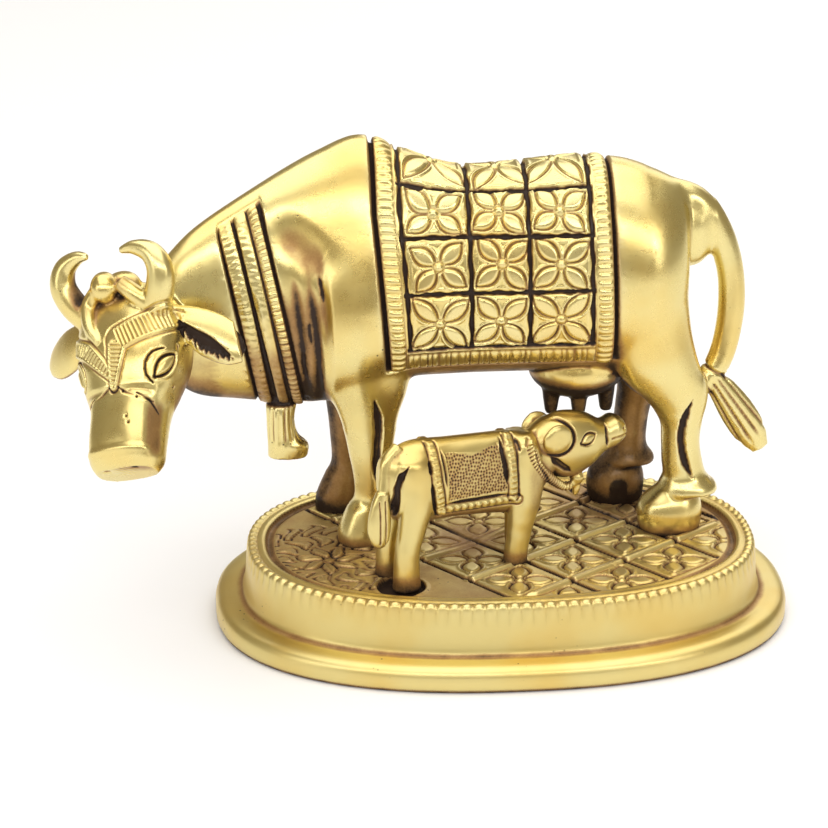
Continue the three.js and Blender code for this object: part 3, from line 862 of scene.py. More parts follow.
def oval_at(share, inset):
    """A point of the plinth's outline drawn in by an inset, at a share of the way round it."""
    angle = np.linspace(0, TAU, 2881)
    x, y = superellipse(angle, HALF_LENGTH, HALF_DEPTH, OVAL_POWER)
    gone = np.concatenate([[0], np.cumsum(np.hypot(np.diff(x), np.diff(y)))])
    at = np.interp(share, gone / gone[-1], angle)
    return np.stack(superellipse(at, HALF_LENGTH - inset, HALF_DEPTH - inset, OVAL_POWER), -1)


def flower_relief(p, q, reach, half_width, slant=math.pi / 4, turn_by=0.0):
    """Four domed petals on the diagonals, each with a chased outline and a bright rim, and a boss in a ring."""
    flower = np.full(p.shape, -9.0)
    for way in (slant + turn_by, math.pi - slant + turn_by, math.pi + slant + turn_by, turn_by - slant):
        along, across = p * math.cos(way) + q * math.sin(way), -p * math.sin(way) + q * math.cos(way)
        flower = np.maximum(flower, leaf(along - 0.7, across, reach - 0.7, half_width))
    middle = np.hypot(p, q)
    relief = 0.2 * ease(flower, 0.1, 0.8) - 0.42 * hump(flower + 0.12, 0.4) + 0.24 * hump(flower + 0.62, 0.42)
    boss = 0.34 * hump(middle, 0.9) - 0.3 * hump(middle - 1.0, 0.32)
    return np.where(middle < 1.2, boss, relief)


def floor_relief(x, y):
    """The chased floor: square tiles set askew, with a raised ledge along one pair of edges, a deep groove
    along the other and a flower in each. To the left of the last groove the tiles give way to petals that
    radiate from a rosette. Gives the relief, and the dirt together with a painted shadow under the calf."""
    u, v = np.linalg.solve(TILE_EDGES.T, np.stack([x - TILE_CORNER[0], y - TILE_CORNER[1]]).reshape(2, -1))
    u, v = u.reshape(x.shape), v.reshape(x.shape)
    long_u, long_v = np.linalg.norm(TILE_EDGES, axis=1)
    to_ledge = (v - np.round(v)) * long_v
    to_groove = (u - np.round(u)) * long_u
    ledge = 0.5 * ease(0.75 - np.abs(to_ledge), 0, 0.35)
    tiles = ledge - 0.3 * hump(to_ledge + 1.1, 0.4) - 0.25 * hump(to_ledge - 1.1, 0.4)
    p, q = (u - np.floor(u) - 0.5) * long_u, (v - np.floor(v) - 0.5) * long_v
    flower = flower_relief(p, q, 6.2, 1.75)
    heart = 0.4 * hump(np.hypot(p, q) - 2.1, 0.7)
    tiles += 1.25 * flower - heart * (flower <= 0.05)
    trench = ease(0.62 - np.abs(to_groove), 0, 0.3)
    tiles = tiles * (1 - trench) - 0.85 * trench
    away = np.hypot(x - ROSETTE_AT[0], y - ROSETTE_AT[1])
    bearing = np.arctan2(y - ROSETTE_AT[1], x - ROSETTE_AT[0]) + 0.12 * np.sin(away * 0.9)
    rosette = np.zeros(x.shape)
    for start, count, length, half in ((1.2, 7, 5.2, 1.25), (6.6, 13, 5.0, 1.3), (12.0, 21, 4.6, 1.35)):
        wedge = (bearing * count / TAU + 0.3 * start) % 1 - 0.5
        across = wedge * TAU / count * np.maximum(away, 0.5)
        petal = leaf(away - start, across, length, half)
        rosette += 0.3 * ease(petal, 0, 0.7) - 0.5 * hump(petal + 0.12, 0.4)
        rosette -= 0.35 * hump(across, 0.3) * ease(petal, 0.2, 0.8)
    left = ease(-1.02 - u, 0, 0.05)
    relief = tiles * (1 - left) + rosette * left
    socket = np.hypot(x - SOCKET_AT[0], y - SOCKET_AT[1])
    sunk = ease(SOCKET_RADIUS - socket, 0, 0.4)
    relief = relief * (1 - sunk) - 1.1 * sunk + 0.25 * hump(socket - SOCKET_RADIUS - 0.25, 0.5)
    # shade is the patch under the calf: its relief is flattened and sunk, and the floor there is painted with a
    # shadow.
    shade = np.exp(-(((x + 6.5) / 8.0) ** 2) - ((y - 0.5) / 9.5) ** 2)
    # worn: an even tarnish, more over the rosette and towards the back right, and the painted shadow under the calf.
    worn = 0.2 + 0.14 * left + 0.26 * shade + 0.2 * ease(x, 8, 16) * ease(y, 2, 8)
    dirt = 0.8 * np.clip(-1.5 * relief * (1 - 0.75 * shade), 0, 1) + worn + 0.9 * sunk
    return relief * (1 - 0.75 * shade) - 0.35 * shade, dirt


def plinth_mesh():
    """A square grid pressed into the floor's oval, whose border meets the first ring of the rim's section.
    Gives points, faces, dirt with the painted shadow under the calf, and rubbed edges."""
    columns = BEADS * BEAD_COLUMNS
    side = columns // 4
    share = (np.arange(columns) + 0.5) / columns
    rim = np.stack([
        np.concatenate([oval_at(share, inset), np.full((columns, 1), height)], 1) for inset, height, _ in RIM_SECTION
    ])
    rim_dirt = np.repeat(np.array(RIM_SECTION)[:, 2:], columns, axis=1)
    rim_proud = np.zeros((len(RIM_SECTION), columns))
    # At the two ends the groove round the floor is deep; at the front and back it is filled.
    ends = 0.22 + 0.78 * ease(np.abs(rim[0, :, 0]) / HALF_LENGTH, 0.44, 0.68)
    rim[:GROOVE_ROWS, :, 2] = FLOOR_HEIGHT + 0.1 + (rim[:GROOVE_ROWS, :, 2] - FLOOR_HEIGHT - 0.1) * ends
    rim_dirt[:GROOVE_ROWS] *= ends
    bead = np.abs(np.sin(math.pi * np.arange(columns) / BEAD_COLUMNS)) ** 0.75
    outward = rim[12, :, :2] / np.linalg.norm(rim[12, :, :2], axis=1)[:, None]
    for row in BEAD_ROWS:
        swell = hump(RIM_SECTION[row][0] - 7.05, 1.25)
        rim[row, :, 2] -= 0.62 * swell * (1 - bead)
        rim_dirt[row] += 0.5 * swell * (1 - bead) ** 2
        rim_proud[row] += 0.8 * swell * bead
        if RIM_SECTION[row][0] < 6.9:
            rim[row, :, :2] -= outward * (0.32 * (1 - bead))[:, None]
    dots = np.abs(np.sin(TAU * np.arange(columns) / BEAD_COLUMNS))
    rim[GROOVE_ROWS - 1 : GROOVE_ROWS + 1, :, 2] -= 0.12 * dots
    rim_dirt[GROOVE_ROWS - 1] += 0.35 * dots
    grid = np.linspace(-1, 1, side + 1)
    a, b = np.meshgrid(grid, grid, indexing="ij")
    reach = np.maximum(np.abs(a), np.abs(b))
    along_a = np.abs(a) >= np.abs(b)
    slope = np.where(along_a, b / np.where(a == 0, 1, a), -a / np.where(b == 0, 1, b))
    quarter = np.select([along_a & (a > 0), ~along_a & (b > 0), along_a], [0, 1, 2], 3)
    way = (quarter + slope / 2) / 4 + 0.5 / columns
    floor = oval_at(way % 1, FLOOR_INSET) * reach[..., None]
    relief, dirt = floor_relief(floor[..., 0], floor[..., 1])
    fade = ease(1 - reach, 0.004, 0.03)
    field = np.concatenate([floor, (FLOOR_HEIGHT + relief * fade)[..., None]], -1)
    index = np.arange((side + 1) ** 2).reshape(side + 1, side + 1)
    quads = np.stack([index[:-1, :-1], index[1:, :-1], index[1:, 1:], index[:-1, 1:]], -1).reshape(-1, 4)
    border = np.concatenate([index[-1, :-1], index[:0:-1, -1], index[0, :0:-1], index[:-1, 0]])
    order = border[np.argsort(way.reshape(-1)[border] % 1)]
    start = (side + 1) ** 2
    ring = start + np.arange(len(RIM_SECTION) * columns).reshape(-1, columns)
    loops = np.vstack([order[None], ring])
    following = np.roll(loops, -1, axis=1)
    walls = np.stack([loops[:-1], loops[1:], following[1:], following[:-1]], -1).reshape(-1, 4)
    middle = start + ring.size
    under = np.stack([ring[-1], np.full(columns, middle), np.roll(ring[-1], -1)], -1)
    points = np.vstack([field.reshape(-1, 3), rim.reshape(-1, 3), [[0, 0, 0]]])
    hollow = np.concatenate([dirt.ravel(), rim_dirt.ravel(), [0]])
    proud = np.concatenate([np.clip(1.4 * relief, 0, 1).ravel(), rim_proud.ravel(), [0]])
    return points, [quads, walls, under], hollow, proud


# Relief of the cow's skin, in millimetres

# Places on the face are along, the way to the muzzle, and round, the way from the middle of the forehead to the
# cow's left. Bands: along, round, half width
BROWBAND = [
    [(4.65, 11.2, 2.05), (6.9, 6.8, 2.3), (9.35, 1.5, 2.4)],
    [(9.6, 1.4, 2.1), (14.0, 0.8, 1.6), (17.6, 0.1, 1.0)],
    [(7.6, -11.2, 1.6), (10.6, -5.75, 1.7), (14.2, -2.2, 1.3), (15.5, -1.0, 0.9)],
]
EYE_AT, EYE_SLANT, EYE_LENGTH, EYE_HALF = (13.9, 10.9), math.radians(-32), 5.4, 1.3
EAR_EDGE = [(5.0, 6.0), (7.6, 10.1), (10.8, 13.2), (12.5, 17.3), (12.4, 20.3)]
FACE_PITS = ((23.7, 3.9, 0.5), (24.9, 4.5, 0.55), (16.8, 14.5, 0.4), (18.9, 2.6, 0.4), (20.1, 6.2, 0.42))


def head_relief(places, normals):
    """The face and the ears, in the head's own axes. Gives the relief, and staining together with painted shade under
    the head, on the muzzle's side planes and on the ears' inner faces.
    """
    local = (places - np.asarray(HEAD_AT)) @ HEAD_MATRIX
    along, y, z = local.T
    round_ = 9.0 * (math.pi / 2 - np.arctan2(z + 2.0, y))
    skull = (np.abs(y) < 11.2) & (along > -4) & (along < 34.5) & (z > -8.5) & (z < 8.0) & (places[:, 0] < -58)
    relief, stain_and_shade = np.zeros(len(places)), np.zeros(len(places))
    for side in (1, -1):
        w = round_ * side
        to_eye, across_eye = along - EYE_AT[0], w - EYE_AT[1]
        p = to_eye * math.cos(EYE_SLANT) + across_eye * math.sin(EYE_SLANT)
        q = -to_eye * math.sin(EYE_SLANT) + across_eye * math.cos(EYE_SLANT)
        ball = leaf(p + EYE_LENGTH / 2, q, EYE_LENGTH, EYE_HALF)
        relief += 0.26 * ease(ball, 0, 0.9) - 0.6 * hump(ball + 0.12, 0.45) + 0.14 * hump(ball + 0.8, 0.4)
        lid = eased_line([(10.9, 10.2), (11.9, 8.2), (13.9, 7.2), (16.1, 7.7), (17.4, 9.4)])
        relief += stroke(lid, along, w, 0.85, 0.5)
        relief += stroke([(17.6, 0.6), (19.2, 3.5), (20.3, 7.5), (20.6, 10.4)], along, w, 0.9, 0.22)
        relief += stroke([(19.3, 6.0), (20.3, 9.0), (22.4, 12.4)], along, w, 0.8, 0.35)
        plane = window(w, 8.4, 14.0, 3.4) * window(along, 20.0, 31.0, 5.0)
        relief -= 0.35 * plane
        # The muzzle's side planes are sunk a little and darkened with painted shade.
        stain_and_shade += 0.24 * plane
    inside, travel = np.full(len(places), -9.0), np.zeros(len(places))
    for line in BROWBAND:
        own, gone = banded(line, along, round_)
        travel = np.where(own > inside, gone, travel)
        inside = np.maximum(inside, own)
    relief += 0.3 * ease(inside, -0.2, 0.25) - 0.22 * hump(inside + 0.3, 0.5)
    relief -= 0.3 * ease(inside, 0.4, 0.7) * (0.5 + 0.5 * np.cos(travel * TAU / 0.8)) ** 1.3
    relief += 0.22 * hump(along - 29.6, 1.1) * ease(z, 0.5, 2.0)
    relief -= 0.3 * hump(along - 18.7, 1.3) * ease(z, 1.0, 3.0)
    for px, pw, size in FACE_PITS:
        relief -= 0.4 * hump(np.hypot(along - px, round_ - pw), size)
    tip = ease(along, 31.4, 32.2)
    relief += tip * 0.07 * np.sin((y + 0.5 * z) * TAU / 1.1) * hump(np.hypot(y - 0.6, z), 3.6)
    for side in (1, -1):
        relief -= 0.35 * hump(np.hypot((y - 2.9 * side) / 1.5, z - 0.2), 0.9) * ease(along, 30.5, 31.5)
    # Painted shade on the underside of the head, towards the jaw.
    stain_and_shade += 0.25 * ease(-z, 3.0, 7.0)
    relief, stain_and_shade = np.where(skull, relief, 0.0), np.where(skull, stain_and_shade, 0.0)
    head = (places[:, 0] < -45) & (along > -9) & (along < 14)
    outward = normals @ HEAD_MATRIX
    facing = outward[:, 2] > 0.1
    for side, droop in ((1, 1.0), (-1, FAR_EAR_DROOP)):
        out = y * side
        lift = 3 + (along - 3) / droop
        edge = from_line(EAR_EDGE, lift, out)[0]
        hairs = 0.35 * np.sin(out * TAU / 0.95) + 0.2 * np.sin(out * TAU / 0.63 + 1.0)
        low = lift - 4.7 - 0.6 * (out - 10.8) - 0.1 * np.maximum(out - 15.0, 0) ** 2
        sunk = np.minimum.reduce([low, edge - 0.7 + hairs, out - 10.2])
        sheet_z = np.interp(out, np.array(EAR)[:, 1], np.array(EAR)[:, 2])
        sunk = ease(sunk, 0.0, 0.5) * (head & facing & (np.abs(z - sheet_z - 0.8) < 2.2)) * (side > 0)
        relief -= 0.95 * sunk
        stain_and_shade += 0.6 * sunk
        # Painted shade on the ears' inner faces, heavier on the far ear.
        inner = ease(-outward[:, 1] * side, 0.1, 0.7) * ease(z, 2.0, 3.5) * ease(9.6 - z, 0, 3) * (out > 4.5)
        stain_and_shade += (0.75 if side < 0 else 0.25) * inner * head * (np.abs(places[:, 2] - 70) < 14)
    stain_and_shade += 0.3 * window(y, 1.0, 4.6, 1.2) * window(along, -3.5, 1.5, 2.0) * head * (z > 4.0)
    stain_and_shade += 0.25 * window(y, -7.5, 2.0, 1.5) * window(along, 0.5, 6.0, 2.0) * head * (z < 6.6) * (z > 4.0)
    return relief, stain_and_shade


# Lines chased into the legs and the chest, x and z, each with its width and depth
NEAR_LEG_CUTS = (
    ([(-24.6, 44.5), (-23.5, 38.5), (-24.0, 30.0), (-23.2, 25.5)], 1.6, 0.85),
    ([(36.4, 41.6), (34.8, 37.2), (34.4, 33.0), (35.3, 28.6), (37.0, 25.2)], 1.5, 0.85),
)
FAR_LEG_CUTS = (
    ([(-29.6, 44.0), (-28.4, 36.0), (-28.6, 27.0)], 1.3, 0.8),
    ([(30.6, 43.0), (28.6, 36.0), (28.4, 30.0), (29.8, 25.4)], 1.3, 0.8),
)
CHEST_CUTS = (
    ([(-34.6, 68.6), (-34.2, 66.6), (-33.8, 64.0)], 0.7, 0.35),
    ([(-36.6, 59.8), (-36.5, 57.5), (-36.2, 55.5)], 0.6, 0.35),
    ([(-37.8, 54.0), (-37.6, 50.5), (-37.0, 47.6)], 0.7, 0.35),
)


def body_relief(places, normals):
    """Broad modelling and the chased lines of the body, legs, pendant and tail, and the beds of the blanket
    and the straps. Gives the relief, and staining together with painted shade under the body, on the far legs, the
    udder and low on the neck, and a painted dark reflection on the chest."""
    x, y, z = places.T
    left = normals[:, 1] < 0.1
    relief = np.zeros(len(places))
    for side in (-1, 1):
        flank = ease(side * (y - 10.5), 2, 9)
        column = ease(x, -35.0, -31.6) * ease(-20.0 - x, 0, 8) * ease(z, 40, 50) * ease(78 - z, 0, 22)
        relief += flank * 1.3 * column
        chest = window(x, -41.5, -33.0, 4.0) * window(z, 42, 66, 14)
        relief -= flank * chest * (0.8 + 0.22 * np.cos((x + 0.1 * z) * TAU / 2.7))
        relief += flank * 0.8 * np.exp(-(((x - 28) / 6.5) ** 2) - ((z - 68) / 10) ** 2)
        relief -= flank * 0.6 * np.exp(-(((x - 21.5) / 3.0) ** 2) - ((z - 52) / 6) ** 2)
        crease, gone = from_line([(-45, 79.0), (-42.5, 77.3), (-38.0, 73.9), (-34.5, 70.9), (-29.8, 68.2)], x, z)
        relief -= flank * 0.95 * hump(crease, 5.4) * ease(gone, 0, 8) * ease(18.6 - gone, 0, 8)
    near = left & (y < 9)
    for chosen, lines in (
        (near & (z < 46), NEAR_LEG_CUTS),
        ((normals[:, 1] > -0.1) & (y > 12) & (z < 46), FAR_LEG_CUTS),
        (near & (z > 46), CHEST_CUTS),
    ):
        for line, width, depth in lines:
            relief[chosen] += cut(eased_line(line), x[chosen], z[chosen], width, depth)
    pendant = (z < 46.5) & (x < -36.4) & (x > -46) & (y > 1.5)
    around = np.arctan2(y - 6.1, x + 41.6)
    flutes = -0.3 * (0.5 + 0.5 * np.cos(14 * around)) ** 2 * ease(z, 32.6, 34.5) * ease(46.5 - z, 0, 4)
    relief += np.where(pendant, flutes, 0.0)
    tuft = (x > 40.0) & (z < 45.5)
    way = np.array([10.6, -15.8]) / math.hypot(10.6, 15.8)
    travel = (x - 41) * way[0] + (z - 44) * way[1]
    across = (x - 41) * -way[1] + (z - 44) * way[0]
    strands = -0.35 * hump(((across / (1.0 + 0.045 * travel)) % 1.15) - 0.575, 0.27)
    strands *= ease(travel, 0.2, 2.4) * ease(18.2 - travel, 0, 4.5)
    relief += np.where(tuft, strands, 0.0)
    relief -= 0.45 * hump(z - 44.6 + 0.55 * (x - 42), 0.7) * (x > 38.5) * (z < 48)
    lane = blanket_lane(x, z)
    above_hem = ease(z, BLANKET_HEM - 0.9, BLANKET_HEM - 0.1)
    bed = ease(lane, BLANKET_EDGES[0] - 1.15, BLANKET_EDGES[0] - 0.25)
    bed *= ease(-lane, -BLANKET_EDGES[1] - 1.0, -BLANKET_EDGES[1] - 0.2) * above_hem
    across = x + STRAP_LEAN * (z - STRAP_MIDDLE)
    shown = strap_fade(x, z) * (x < -35) * (x > -56) * ease(z, 40.6, 41.4)
    collar = window(across, -50.55, -41.4, 0.7) * shown
    relief = relief * (1 - collar) * (1 - bed) - 1.2 * bed - 0.95 * collar
    beside = np.minimum(np.abs(lane - BLANKET_EDGES[0] + 0.8), np.abs(lane - BLANKET_EDGES[1] - 0.8))
    # Browner chest: patina in its hollow and a painted dark reflection, on the near side only.
    stain_and_shade = 0.22 * window(x, -43.0, -32.6, 4.0) * window(z, 40, 68, 14) * ease(-normals[:, 1], 0.0, 0.6)
    # Painted shade on the skin that faces down, under the body and neck, and staining beside the blanket's edges.
    stain_and_shade += 0.62 * ease(-normals[:, 2], 0.25, 0.9) * window(z, 40.5, 60, 4) + 0.3 * hump(beside, 1.3) * above_hem
    # Painted shade and patina on the far legs and the udder, a little lighter where the skin faces the near side.
    far_leg_shade_and_patina = ease(y, 11, 13.5) * ease(52 - z, 0, 10)
    udder = ease(46.5 - z, 0, 3) * window(x, 4, 26, 3) * window(y, 1.5, 18.5, 2) * (z > 33)
    stain_and_shade += 0.7 * np.maximum(far_leg_shade_and_patina, udder) * (1 - 0.3 * ease(-normals[:, 1], 0.6, 1.0))
    # Darker towards the floor.
    stain_and_shade += 0.5 * ease(4.0 - (z - FLOOR_HEIGHT), 0, 4) * (z < 20)
    # Painted shade low on the neck below the head, and the darker bed under the straps.
    stain_and_shade += 0.3 * ease(-52.0 - x, 0, 2) * ease(60 - z, 0, 9) * (x > -62) + 0.45 * collar
    # Painted shade low between the legs, under the belly.
    stain_and_shade += 0.35 * ease(y, 4, 9) * ease(46 - z, 0, 8) * (y < 14) * (x > -36)
    return relief + 0.05 * ripple(places, 9.0, 4), stain_and_shade


# Blanket

# How far each lane of the blanket leans for each millimetre up
BLANKET_LEANS = ([-23.0, -18.5, -6.0, 4.8, 16.6, 20.3], [-0.08, -0.065, -0.015, -0.012, -0.02, -0.03])
BLANKET_MIDDLE = 72.0
BLANKET_COLUMNS = [-18.8, -6.4, 4.6, 16.3]
BLANKET_EDGES = (-23.1, 20.3)
BLANKET_ROWS = [54.2, 65.2, 75.5, 83.0]
BLANKET_HEM = 50.2
SIDE_TOP = 80.0
BEAD_PITCH, HEM_PITCH = 1.55, 1.3


def blanket_lane(x, z):
    """The lane of the blanket that a place of the body lies in: x less the lane's lean, found in three rounds."""
    up = np.minimum(z, SIDE_TOP) - BLANKET_MIDDLE
    lane = x
    for _ in range(3):
        lane = x - np.interp(lane, *BLANKET_LEANS) * up
    return lane


def body_t(x):
    """How far along the body each x lies."""
    t = np.linspace(0, 1, 4001)
    return np.interp(x, spline(COW_BODY, t)[:, 0], t)


def side_angle(t, z):
    """The angle on the far side at which the body's skin reaches a height."""
    _, _, top, bottom, _, _ = np.moveaxis(spline(COW_BODY, t), -1, 0)
    share = np.clip((z - (top + bottom) / 2) / ((top - bottom) / 2), -0.999, 0.999)
    return np.arcsin(np.sign(share) * np.abs(share) ** (BODY_POWER / 2))


class Wrap:
    """The way over the back: s is the distance in millimetres from the near hem, up the near side, over the
    back and down the far side, measured on the section at x."""

    def __init__(self, x, hem):
        self.t = body_t(np.array(x))
        angles = np.linspace(math.pi - side_angle(self.t, hem), side_angle(self.t, hem), 1200)
        points = trunk(COW_BODY, self.t, angles, 0.9)
        steps = np.linalg.norm(np.diff(points, axis=0), axis=1)
        self.s = np.concatenate([[0], np.cumsum(steps)])
        self.angle = angles
        self.z = points[:, 2]
        self.length = self.s[-1]

    def at_height(self, z):
        """s where the near side reaches a height."""
        upward = self.z[: int(np.argmax(self.z))]
        return np.interp(z, upward, self.s[: len(upward)])

    def place(self, s):
        """Height on the side for each s, the share of the way across the back, and whether it is the far side."""
        side = self.at_height(SIDE_TOP)
        mirrored = np.minimum(s, self.length - s)
        height = np.interp(mirrored, self.s, self.z)
        share = (s - side) / (self.length - 2 * side)
        return height, share, s > self.length / 2, mirrored > side


def wrapped(wrap, x, s, grow):
    """Points of a cloth over the body: on the sides each s keeps its height, and over the back it keeps its
    share of the way across."""
    height, share, beyond, over = wrap.place(s)
    t = body_t(x)
    low = side_angle(t, np.minimum(height, SIDE_TOP))
    corner = side_angle(t, SIDE_TOP)
    side = np.where(beyond, low, math.pi - low)
    back = (math.pi - corner) + (2 * corner - math.pi) * share
    return trunk(COW_BODY, t, np.where(over, back, side), grow)


def pillows(across, half, travel, pitch):
    """A beaded border: rounded beads side by side, between two fine rails."""
    bead = np.sqrt(np.clip(1 - (2 * (travel / pitch % 1) - 1) ** 2, 0, 1))
    dome = np.sqrt(np.clip(1 - (across / (half - 0.35)) ** 2, 0, 1))
    return 0.58 * bead * dome - 0.34 + 0.28 * hump(np.abs(across) - half + 0.16, 0.24)


def tile_relief(p, q, width, height, rng):
    """A tile: a fine raised edge and a flower whose petals reach for its corners, no two quite alike."""
    edge = np.minimum(width / 2 - np.abs(p), height / 2 - np.abs(q))
    relief = 0.16 * hump(edge - 1.1, 0.4)
    p, q = p + rng.uniform(-0.3, 0.3), q + rng.uniform(-0.3, 0.3)
    reach = (0.5 * math.hypot(width, height) - 1.5) * rng.uniform(0.92, 1.08)
    flower = flower_relief(p, q, reach, 1.5, math.atan2(height, width), math.radians(rng.uniform(-6, 6)))
    return np.where(np.abs(flower) > 0.02, flower, relief)


def blanket_relief(wrap, x, s, travel):
    """Travel is the true way up each lane, which the beads are spaced by. Grooves between the tiles, the tiles' flowers, and the beaded borders down both edges and along the hems."""
    rng = np.random.default_rng(7)
    rows = [wrap.at_height(z) for z in BLANKET_ROWS]
    rows = np.array(rows + [wrap.length - s_row for s_row in reversed(rows)])
    columns = np.array(BLANKET_COLUMNS)
    left, right = BLANKET_EDGES
    relief = np.zeros(x.shape)
    for low_x, high_x in zip(columns[:-1], columns[1:]):
        for low_s, high_s in zip(rows[:-1], rows[1:]):
            here = (x >= low_x) & (x < high_x) & (s >= low_s) & (s < high_s)
            p, q = x - (low_x + high_x) / 2, s - (low_s + high_s) / 2
            relief = np.where(here, tile_relief(p, q, high_x - low_x, high_s - low_s, rng), relief)
    wander = 0.1 * np.sin(s * 1.1 + x) + 0.07 * np.sin(2.3 * x - s)
    to_column = np.min(np.abs(x[..., None] - columns), -1)
    to_row = np.min(np.abs(s[..., None] - rows), -1)
    in_rows = (s > rows[0] - 0.6) & (s < rows[-1] + 0.6)
    in_columns = (x > columns[0] - 0.6) & (x < columns[-1] + 0.6)
    trench = np.minimum(np.where(in_rows, to_column, 9), np.where(in_columns, to_row, 9)) + wander
    trench = ease(0.55 - trench, 0, 0.34)
    relief = relief * (1 - trench) - 0.8 * trench
    bottom = np.minimum(s, wrap.length - s)
    border = (x < columns[0] - 0.6) | (x > columns[-1] + 0.6)
    left_half, right_half = (columns[0] - 0.6 - left) / 2, (right - columns[-1] - 0.6) / 2
    strip = np.where(
        x < 0, pillows(x - left - left_half, left_half, travel, BEAD_PITCH),
        pillows(x - right + right_half, right_half, travel, BEAD_PITCH),
    )
    relief = np.where(border, strip, relief)
    hem_half = (rows[0] - 0.75) / 2
    uneven = x + 0.25 * np.sin(x * 1.7) + 0.1 * np.sin(x * 4.1)
    hem = pillows(bottom - hem_half, hem_half, uneven, HEM_PITCH)
    relief = np.where((bottom < rows[0] - 0.75) & ~border, hem, relief)
    rim = np.minimum(np.minimum(x - left, right - x), bottom)
    return np.maximum(relief, -1.0) - 0.5 * ease(0.35 - rim, 0, 0.35)


def blanket_mesh():
    """The blanket as a closed sheet over the body. Gives points, faces, dirt and rubbed edges."""
    sizes = bpy.context.scene.statue_sizes
    wrap = Wrap(-1.0, BLANKET_HEM)
    left, right = BLANKET_EDGES
    lanes = np.linspace(left, right, 220)[:, None]
    near = np.arange(0, wrap.length * 0.62, 0.2)
    s = np.concatenate([near, np.linspace(near[-1], wrap.length, 150)[1:]])[None]
    height = wrap.place(s)[0]
    x = lanes + np.interp(lanes, *BLANKET_LEANS) * (np.minimum(height, SIDE_TOP) - BLANKET_MIDDLE)
    lanes, s = lanes + 0 * s, s + 0 * lanes
    skin = wrapped(wrap, x, s, 0.0)
    steps = np.linalg.norm(np.diff(skin, axis=1), axis=2)
    travel = np.concatenate([np.zeros((len(x), 1)), np.cumsum(steps, axis=1)], axis=1)
    relief = blanket_relief(wrap, lanes, s, travel)
    outer = wrapped(wrap, x, s, sizes.blanket_thickness / MM + relief)
    inner = wrapped(wrap, x, s, -2.0)
    # Dark in the grooves, and darker down the sides towards the hem.
    dirt = 0.72 * np.clip(-1.7 * relief - 0.05, 0, 1) + 0.12 * ease(62 - height, 0, 10)
    dirt += 0.25 * ease(-relief, 0.5, 0.8) * ease(66 - height, 0, 16)
    points, faces = sheet(outer, inner)
    none = np.zeros(relief.size)
    return points, faces, np.concatenate([dirt.ravel(), none]), np.concatenate([2.2 * relief.ravel(), none])


# Neck straps

STRAP_LEAN = 0.2
STRAP_MIDDLE = 64.0
STRAPS_FROM, STRAPS_TO = -50.1, -41.75
PEARLS_FROM = -43.8
PEARL_PITCH = 1.25
# Grooves round the neck: where, half width and depth
STRAP_GROOVES = ((-47.0, 0.38, 0.8), (-44.1, 0.3, 0.5))


def strap_fade(x, z):
    """1 down the neck's sides, and 0 at its top, where the straps run out."""
    t = np.linspace(0, 1, 801)
    line = spline(COW_BODY, t)
    return ease(np.interp(x, line[:, 0], line[:, 2]) - z, 0.5, 4.0)


def strap_relief(across, travel, height):
    """Two soft bands with dark grooves beside them that widen down the neck, and a row of pearls."""
    worn = ripple(np.stack([across, travel, 0 * travel], -1).reshape(-1, 3), 1.6, 5).reshape(across.shape)
    relief = 0.06 + 0.14 * np.cos((across + 47.0) * TAU / 2.9 + math.pi) + 0.1 * worn
    notch = (0.5 + 0.5 * np.cos(travel * TAU / 1.45 + 1.5 * worn)) ** 2
    relief -= 0.09 * notch * (across < -47.6)
    for at, half, depth in STRAP_GROOVES:
        half = half * (1 + 0.7 * ease(66 - height, 0, 22)) + 0.08 * worn
        relief -= depth * ease(half - np.abs(across - at), -0.1, 0.3)
    middle, half = (PEARLS_FROM + STRAPS_TO) / 2, (STRAPS_TO - PEARLS_FROM) / 2
    dome = np.sqrt(np.clip(1 - ((across - middle) / half) ** 2, 0, 1))
    pearl = np.sqrt(np.clip(1 - (2 * (travel / PEARL_PITCH % 1) - 1) ** 2, 0, 1))
    return np.where(across > PEARLS_FROM, 0.6 * dome * pearl - 0.38, relief)


def straps_mesh():
    """The straps as a ring round the neck: its skin follows the neck, grown by the straps' relief. Gives
    points, faces, dirt and rubbed edges."""
    sizes = bpy.context.scene.statue_sizes
    lanes = np.linspace(STRAPS_FROM, STRAPS_TO, 72)[:, None]
    angle = np.linspace(0, TAU, 640, endpoint=False)[None]
    middle = trunk(COW_BODY, body_t(lanes), angle)
    x = lanes - STRAP_LEAN * (middle[..., 2] - STRAP_MIDDLE)
    skin = trunk(COW_BODY, body_t(x), angle + 0 * x, 0)
    travel = np.cumsum(np.linalg.norm(np.diff(skin[35], axis=0, append=skin[35, :1]), axis=1))[None]
    lanes, travel = lanes + 0 * angle, travel + 0 * lanes
    shown = strap_fade(x, skin[..., 2])
    relief = strap_relief(lanes, travel, skin[..., 2])
    edge = np.minimum(lanes - STRAPS_FROM, STRAPS_TO - lanes)
    grow = (sizes.strap_thickness / MM + relief) * shown - 0.7 * (1 - shown) - 0.5 * ease(0.3 - edge, 0, 0.3)
    outer = trunk(COW_BODY, body_t(x), angle + 0 * x, grow)
    inner = trunk(COW_BODY, body_t(x), angle + 0 * x, -2.2)
    # The straps are made darker down the neck, below 62 mm.
    low = 0.25 * ease(62 - skin[..., 2], 0, 12)
    dirt = 0.7 * np.clip(-1.5 * relief, 0, 1) + low + 0.4 * ease(0.35 - edge, 0, 0.3) + 0.1
    points, faces = loop(np.concatenate([outer, inner[::-1]], 0))
    none = np.zeros(relief.size)
    return points, faces, np.concatenate([dirt.ravel(), none]), np.concatenate([2.0 * relief.ravel(), none])


